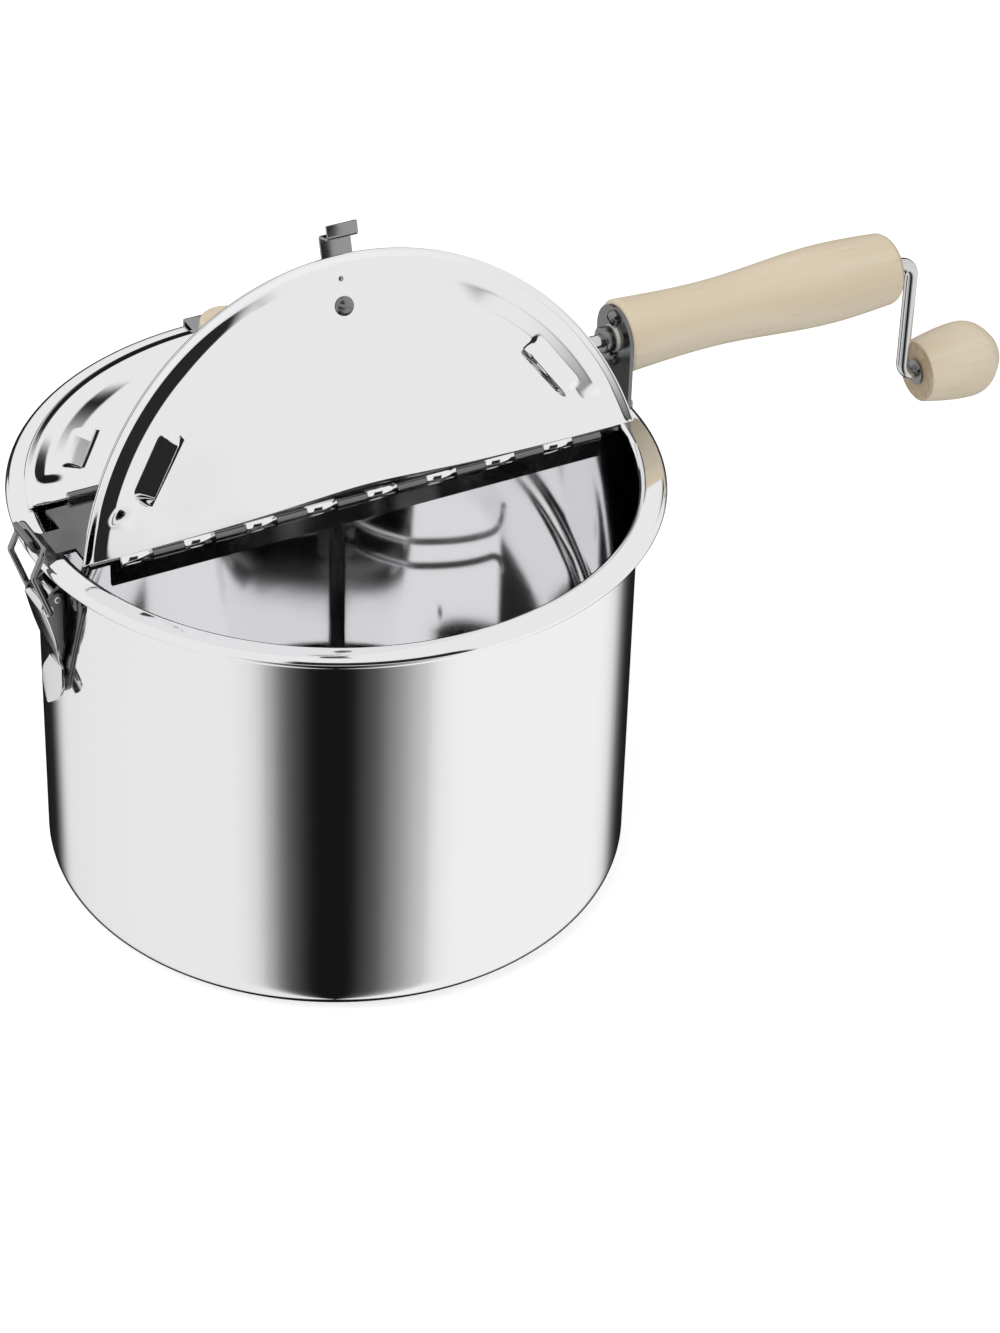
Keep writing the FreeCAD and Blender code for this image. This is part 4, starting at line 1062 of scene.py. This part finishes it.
# %% Lid's knob, catch and screw
LID_KNOB_HEIGHT = 12.5 * MM
LID_KNOB_WAIST = 5.5 * MM
LID_KNOB_EDGE = 1.2 * MM
LID_KNOB_RADII = np.array([12, 10.85, 10]) * MM
FOOT_RISE, FOOT_INSET = 0.5 * MM, 0.4 * MM
CATCH_TAIL = 8 * MM
CATCH_DROP = 5.5 * MM
CATCH_GAP = 0.8 * MM
CATCH_BEND = 1.2 * MM
LIP_LENGTH = 5 * MM
NUB_RADIUS, NUB_HEIGHT = 1 * MM, 0.2 * MM
LID_SCREW_RADIUS, LID_SCREW_HEIGHT = 3.6 * MM, 1.8 * MM
LID_SLOT = (1, 0.5, 0)


def lid_knob_profile():
    """A flat foot, a side that leans in a little and is faintly hollow, and a rounded crown."""
    foot, waist, crown = LID_KNOB_RADII
    shoulder, top = LID_KNOB_HEIGHT - LID_KNOB_EDGE, crown - LID_KNOB_EDGE
    up = np.linspace(FOOT_RISE, shoulder, 14)
    side = batten((FOOT_RISE, LID_KNOB_WAIST, shoulder), (foot, waist, crown), up)
    return np.concatenate([
        [(0, 0), (0, foot - FOOT_INSET)], np.stack([up, side], axis=1),
        arc((shoulder, top), LID_KNOB_EDGE, 0, 90, 8),
        straight((LID_KNOB_HEIGHT, top), (LID_KNOB_HEIGHT, 0), 6)[1:],
    ])


def catch_grids():
    """The strip over the rim, with its finger lip, and the nub that snaps under the lid."""
    level = LID_TOP + STRIP_SHEET / 2
    drop = RIM_TOP - CATCH_DROP
    face = RIM_RADIUS + CATCH_GAP
    tail, lip = SCREW_Y - CATCH_TAIL, face + LIP_LENGTH
    corners = [(0, tail, level), (0, face, level), (0, face, drop), (0, lip, drop)]
    nub = turned(dome_profile(NUB_RADIUS, NUB_HEIGHT), (0, NUB_Y, LID_BOTTOM), (0, 0, -1), steps=24)
    return [strip(bent_route(corners, CATCH_BEND), STRIP_SHEET, STRIP_HALF_WIDTH, (1, 0, 0)), nub]


def lid_screw_grids():
    place = (0, SCREW_Y, LID_BOTTOM)
    return slotted_head(LID_SCREW_RADIUS, LID_SCREW_HEIGHT, place, (0, 0, -1), LID_SLOT)


def make_lid(side, place):
    """One lid and what sits on it; place takes points of the closed rear lid to where they belong."""
    body = side + "_lid"
    sheet_grids = [place(grid) for grid in lid_grids() + tongues()]
    sheet = make_piece(body + "_sheet", sheet_grids, [LID_STEEL], body, body)
    thickness = sheet.modifiers.new("sheet", "SOLIDIFY")
    thickness.thickness = LID_SHEET
    thickness.offset = 0
    knob_base = (0, SCREW_Y, LID_TOP + STRIP_SHEET)
    lid_knob_grid = turned(lid_knob_profile(), knob_base, (0, 0, 1), steps=96)
    for name, grids, material, slot in (
        ("catch", catch_grids(), SPRING_STEEL, "spring_steel"),
        ("lid_knob", [lid_knob_grid], UPRIGHT_WOOD, "handle_wood"),
        ("lid_screw", lid_screw_grids(), SCREW_STEEL, "screw_steel"),
    ):
        node = side + "_" + name
        make_piece(node + "_detail", [place(grid) for grid in grids], [material], body, node)


make_lid("rear", np.asarray)
make_lid("front", opened)

# %% [markdown]
# The crank is one round rod: along the grip's axis, down an arm and out to the knob. A collar on the
# rod stops it behind the tab, and a washer lies between the arm's bend and the knob. A curve with a
# round bevel draws such a rod quickly, but a carried circle also rounds and closes its ends. The
# rings, and the two that hold the stirrer's shaft, come from one function, which reads each ring's
# outer size and length from its node's box.

# %% Crank rod
ROD_START, ROD_END = np.array(span("crank_rod"))[:, 0]
ARM_SETBACK = 7.1 * MM
ARM_X = KNOB_LOW[0] - ARM_SETBACK
ROD_BEND = 6 * MM
ROD_EDGE = 0.4 * MM
AXIS_X, AXIS_Y, AXIS_Z = np.eye(3)
rod_x = (ROD_START, ARM_X, ARM_X, ROD_END)
rod_z = (CRANK_AXIS_Z, CRANK_AXIS_Z, KNOB_AXIS_Z, KNOB_AXIS_Z)
rod_corners = [(x, 0, z) for x, z in zip(rod_x, rod_z)]
rod_grid = tube(bent_route(rod_corners, ROD_BEND), ROD_RADIUS, AXIS_Y, ROD_EDGE)
make_piece("rod", [rod_grid], [WIRE_STEEL], "crank", "crank_rod")

# %% Rings on the rod and the shaft
SHAFT_RADIUS = 3 * MM
SNUG = 0.05 * MM
THIN_EDGE = 0.15 * MM


def make_ring(name, node, body, axis, bore, edge, material):
    """A ring with rounded edges that fills its node's box along the axis and across it."""
    low, high = span(node)
    start = np.where(axis, low, (low + high) / 2)
    length, outer = (high - low)[np.argmax(axis)], (high - low)[np.argmin(axis)] / 2
    ring_grid = turned(ring_profile(length, bore, outer, edge), start, axis, steps=64)
    make_piece(name, [ring_grid], [material], body, node)


make_ring("collar", "rod_collar", "crank", AXIS_X, ROD_RADIUS, ROD_EDGE, SCREW_STEEL)
make_ring("crank_washer", "knob_washer", "crank", AXIS_X, ROD_RADIUS + SNUG, THIN_EDGE,
          SCREW_STEEL)
make_ring("stirrer_washer", "shaft_washer", "stirrer", AXIS_Z, SHAFT_RADIUS + SNUG, THIN_EDGE,
          SCREW_STEEL)
make_ring("stirrer_clip", "shaft_clip", "stirrer", AXIS_Z, SHAFT_RADIUS, THIN_EDGE,
          SPRING_STEEL)

# %% [markdown]
# The stirrer is a plain shaft with two wires through its hub. Each wire sweeps back like an S, so
# that it pushes the load outwards, and turns up at the wall. The two differ only in size and heading,
# so one function bends both, and half a turn of one half of a wire gives its other half.

# %% Stirrer
WIRE_RADIUS = 1.5 * MM
WIRE_BEND = 8 * MM
WIRE_TILT = 0.01
WIRE_REACHES = np.array([94, 65.8]) * MM
WIRE_RISES = np.array([20, 12]) * MM
WIRE_HEIGHTS = np.array([3.9, 7.1]) * MM
WIRE_HEADINGS = (0, pi / 2)
SWEEP = radians(16)
SHAFT_EDGE = 0.5 * MM
SHAFT_LOW, SHAFT_HIGH = np.array(span("stirrer_shaft"))[:, 2]


def stirrer_wire(reach, rise, height, heading):
    """From one raised tip through the hub to the other; the knees lie at half the reach."""
    def at(angle, distance, up):
        return np.array([distance * cos(angle), distance * sin(angle), height + up])
    half = [at(heading + SWEEP, reach, rise), at(heading + SWEEP, reach, 0), at(heading, reach / 2, 0)]
    other = [point * (-1, -1, 1) for point in reversed(half)]
    side = (-sin(heading + SWEEP), cos(heading + SWEEP), WIRE_TILT)
    return tube(bent_route(half + other, WIRE_BEND), WIRE_RADIUS, side, ROD_EDGE)


wires = [stirrer_wire(*sizes) for sizes in zip(WIRE_REACHES, WIRE_RISES, WIRE_HEIGHTS, WIRE_HEADINGS)]
make_piece("wires", wires, [WIRE_STEEL], "stirrer", "stirrer_wires")
shaft_profile = rod_profile(SHAFT_HIGH - SHAFT_LOW, SHAFT_RADIUS, SHAFT_EDGE)
shaft_grid = turned(shaft_profile, (0, 0, SHAFT_LOW), AXIS_Z, steps=48)
make_piece("shaft", [shaft_grid], [WIRE_STEEL], "stirrer", "stirrer_shaft")

# %% [markdown]
# The latch. A base plate is bent round the wall and rivetted to it, with two lugs for the lever's
# pin. The lever is a channel: two cheeks, a barrel for the wire between them, and a face that runs
# down into a leaf for the thumb. A wire bail reaches up from the barrel, round the rim, and pulls
# the bar's hook down. Sheet pieces could be extruded and bent by hand. Here each is an outline on the
# flat, thickened, and then stood up or wrapped round the wall, so that its thickness stays true.

# %% Latch plate and rivets
PIVOT = middle("latch_pin")
PLATE_SHEET = 1.2 * MM
PLATE_RADIUS = WALL_RADIUS + PLATE_SHEET
PLATE_CORNER = 5.5 * MM
RIVET_Y, RIVET_Z, TIP_Z = 13.5 * MM, 148.5 * MM, 108.5 * MM
RIVET_RADIUS, RIVET_HEIGHT = 3 * MM, 1 * MM
LUG_INNER, LUG_SHEET, LUG_RADIUS = 5.2 * MM, 1.3 * MM, 2.5 * MM
LUG_ROOT, LUG_SPREAD = -111.7 * MM, 2 * MM


def upright_plate(outline, start, thickness):
    """A flat plate square to the Y axis, from start to start plus the thickness."""
    u, v, w = np.moveaxis(plate_rows(outline, abs(thickness)), 2, 0)
    return np.stack([u, start + np.sign(thickness) * w, v], axis=2)


def bent_plate(outline):
    """The plate wrapped round the wall: u becomes an arc of that length at the wall's radius."""
    u, v, w = np.moveaxis(plate_rows(outline, PLATE_SHEET), 2, 0)
    angle, radius = u / WALL_RADIUS, WALL_RADIUS + w
    return np.stack([-radius * np.cos(angle), radius * np.sin(angle), v], axis=2)


plate_outline = hull_outline([(0, TIP_Z), (RIVET_Y, RIVET_Z), (-RIVET_Y, RIVET_Z)], PLATE_CORNER)
lug_corners = [PIVOT[[0, 2]], (LUG_ROOT, PIVOT[2] - LUG_SPREAD), (LUG_ROOT, PIVOT[2] + LUG_SPREAD)]
lug_outline = hull_outline(lug_corners, LUG_RADIUS)
lugs = [upright_plate(lug_outline, side * LUG_INNER, side * LUG_SHEET) for side in (-1, 1)]
plate_grids = [bent_plate(plate_outline), *lugs]
make_piece("plate", plate_grids, [LATCH_STEEL], "pot_assembly", "latch_plate")


def rivet_heads():
    """Three domed heads outside on the plate, and three inside the pot."""
    tilt = np.arcsin(RIVET_Y / WALL_RADIUS)
    grids = []
    for angle, height in ((pi - tilt, RIVET_Z), (pi + tilt, RIVET_Z), (pi, TIP_Z)):
        outward = np.array([cos(angle), sin(angle), 0])
        for radius, way in ((PLATE_RADIUS, 1), (WALL_RADIUS - SHEET, -1)):
            centre = radius * outward + (0, 0, height)
            grids.append(turned(dome_profile(RIVET_RADIUS, RIVET_HEIGHT), centre, way * outward, steps=40))
    return grids


make_piece("rivets", rivet_heads(), [LATCH_STEEL], "pot_assembly", "latch_rivets")

# %% Latch lever
BARREL = PIVOT - np.array([3.7, 0, 3.7]) * MM
BARREL_RADIUS, BARREL_DIMPLE, BARREL_PROUD = 2.4 * MM, 1.3 * MM, 0.2 * MM
PIN_HALF, PIN_RADIUS, PIN_DIMPLE = 8.15 * MM, 1.5 * MM, 0.8 * MM
PIN_EDGE, DIMPLE_DEPTH = 0.3 * MM, 0.6 * MM
LEVER_SHEET = 1.2 * MM
LEVER_HALF = 8 * MM
LEVER_BEND, LEVER_STEP = 3 * MM, 0.8 * MM
OUTLINE_GAP = 0.3 * MM
LEAF_POINT = 0.6 * MM
EAR = 2.6 * MM
CHEEK_FOOT = np.array([(-112.1, 124.8), (-112.9, 120.3)]) * MM
CHEEK_FRONT = np.array([-120.1, -119.6, -115.5]) * MM
CHEEK_KNEE_Z = 146.4 * MM
CHEEK_BENDS = np.array([2.0, 2.0, 2.0, 0.3, 1.5, 1.2, 1.5]) * MM
LEVER_NECK = np.array([-112.1, 0, 115.8]) * MM
LEVER_TIP = np.array([-116.0, 0, 98.8]) * MM
LEVER_HEIGHTS = np.array([-144, -124.8, -115.8, -108, -102, -98.8]) * MM
LEVER_HALF_WIDTHS = np.array([8, 8, 5.4, 8.6, 4.6, 0.6]) * MM


def pin_profile(length, radius, dimple):
    """A pin whose ends are rings: a small rounded edge and a dimple drilled in the middle."""
    hollow = np.array([(1, 0), (0.7, 0.8), (0, 1)]) * (DIMPLE_DEPTH, dimple)
    half = np.concatenate([hollow, arc((PIN_EDGE, radius - PIN_EDGE), PIN_EDGE, -90, 0, 5)])
    return np.concatenate([half, half[::-1] * (-1, 1) + (length, 0)])


def cross_pin(centre, half_length, radius, dimple):
    start = centre - (0, half_length, 0)
    return turned(pin_profile(2 * half_length, radius, dimple), start, AXIS_Y, steps=48)


def rounded_outline(corners, bends):
    """A closed outline through the corners, each with its own bend, evenly stepped."""
    corners = np.asarray(corners, float)
    start = (corners[0] + corners[-1]) / 2
    return evenly_stepped(bent_route([start, *corners, start], bends, OUTLINE_GAP))


def lever_face():
    """The face strip from the barrel in to the neck and out along the leaf, with its changing width."""
    top = BARREL - (BARREL_RADIUS - LEVER_SHEET / 2, 0, 0)
    path = bent_route([top, LEVER_NECK, LEVER_TIP], LEVER_BEND, LEVER_STEP)
    width = np.maximum(batten(LEVER_HEIGHTS, LEVER_HALF_WIDTHS, -path[:, 2]), LEAF_POINT)
    return strip(path, LEVER_SHEET, width, AXIS_Y, PIN_EDGE)


def lever_cheeks():
    """Two cheeks: an ear round the pivot, then a wedge that narrows down to the neck."""
    back, low, high = PIVOT[0] + EAR, PIVOT[2] - EAR, PIVOT[2] + EAR
    front = zip(CHEEK_FRONT, (BARREL[2], CHEEK_KNEE_Z, high))
    outline = rounded_outline([(back, high), (back, low), *CHEEK_FOOT, *front], CHEEK_BENDS)
    start = LEVER_HALF - LEVER_SHEET
    return [upright_plate(outline, side * start, side * LEVER_SHEET) for side in (-1, 1)]


barrel_grid = cross_pin(BARREL, LEVER_HALF + BARREL_PROUD, BARREL_RADIUS, BARREL_DIMPLE)
lever_grids = [lever_face(), *lever_cheeks(), barrel_grid]
lever_steels = [LATCH_STEEL, BRIGHT_PLATE]
make_piece("lever", lever_grids, lever_steels, "latch_lever", "latch_lever", (1, 0, 0, 1))
pin_grid = cross_pin(PIVOT, PIN_HALF, PIN_RADIUS, PIN_DIMPLE)
make_piece("pivot_pin", [pin_grid], [BRIGHT_PLATE], "pot_assembly", "latch_pin")

# %% Latch bail
BAIL_RADIUS = 1.2 * MM
BAIL_BEND = 2.1 * MM
BAIL_EDGE = 0.3 * MM
BAIL_END, BAIL_HALF = 3.8 * MM, 10.3 * MM
BAIL_KNEE = np.array([-123.7, 0, 161.2]) * MM
BAIL_TOP = np.array([-119, 0, 171.2]) * MM
bail_points = np.array([BARREL, BARREL, BAIL_KNEE, BAIL_TOP])
bail_side = bail_points + AXIS_Y * np.array([BAIL_END, BAIL_HALF, BAIL_HALF, BAIL_HALF])[:, None]
bail_corners = np.concatenate([bail_side * (1, -1, 1), bail_side[::-1]])
bail_grid = tube(bent_route(bail_corners, BAIL_BEND), BAIL_RADIUS, AXIS_X, BAIL_EDGE)
make_piece("bail", [bail_grid], [BAIL_STEEL], "latch_bail", "latch_bail")

# %% [markdown]
# At the handle's end a bent strip hooks under the pot's bead. The tab that carries the grip has two
# wood screws through it, whose round heads face the pot. Both reuse what is already here: the strip is
# carried along its bends as the lids' catches are, and the screws are slotted heads on plain shanks.

# %% Rim hook and handle screws
HOOK_BACK, HOOK_OUTSIDE, HOOK_TIP = 116.1 * MM, 120.55 * MM, 113 * MM
HOOK_TOP, HOOK_SHELF, HOOK_UNDER = 175.5 * MM, 165.55 * MM, 157.5 * MM
HOOK_BEND, HOOK_HALF_WIDTH = 0.8 * MM, 5 * MM
TAB_BACK = 114.1 * MM
SCREW_SPREAD = 8.5 * MM
SCREW_HEAD_RADIUS, SCREW_HEAD_HEIGHT = 3 * MM, 2.6 * MM
SCREW_LENGTH, SHANK_RADIUS = 22 * MM, 1.8 * MM
SLOT_LEAN = 0.6

hook_corners = [
    (HOOK_BACK, 0, HOOK_TOP), (HOOK_BACK, 0, HOOK_SHELF), (HOOK_OUTSIDE, 0, HOOK_SHELF),
    (HOOK_OUTSIDE, 0, HOOK_UNDER), (HOOK_TIP, 0, HOOK_UNDER),
]
hook_grid = strip(bent_route(hook_corners, HOOK_BEND), STRIP_SHEET, HOOK_HALF_WIDTH, AXIS_Y)
make_piece("hook_strip", [hook_grid], [SPRING_STEEL], "pot_assembly", "rim_hook")
shank_profile = rod_profile(SCREW_LENGTH, SHANK_RADIUS, ROD_EDGE)
screw_grids = []
for side in (-1, 1):
    head = (TAB_BACK, 0, CRANK_AXIS_Z + side * SCREW_SPREAD)
    slot_along = (0, 1, side * SLOT_LEAN)
    screw_grids += slotted_head(SCREW_HEAD_RADIUS, SCREW_HEAD_HEIGHT, head, -AXIS_X, slot_along)
    screw_grids.append(turned(shank_profile, head, AXIS_X, steps=24))
make_piece("grip_screws", screw_grids, [SCREW_STEEL], "pot_assembly", "handle_screws")

# %% [markdown]
# The bar with its knuckles, the gears, the bracket and the small pins are already right as the CAD
# has them, so they stay and only get their finishes.

# %% Finishes for the CAD nodes
FINISHES = {
    "pot_steel": POT_STEEL, "lid_steel": LID_STEEL, "bar_steel": BAR_STEEL, "latch_steel": LATCH_STEEL,
    "spring_steel": SPRING_STEEL, "wire_steel": WIRE_STEEL, "screw_steel": SCREW_STEEL,
    "gear_metal": GEAR_METAL, "bush_plastic": NYLON, "handle_wood": KNOB_WOOD,
}
for part in frame["record"]["subparts"]:
    materials = NODES[part["node"]].data.materials
    materials.clear()
    materials.append(FINISHES[part["material_slot"]])
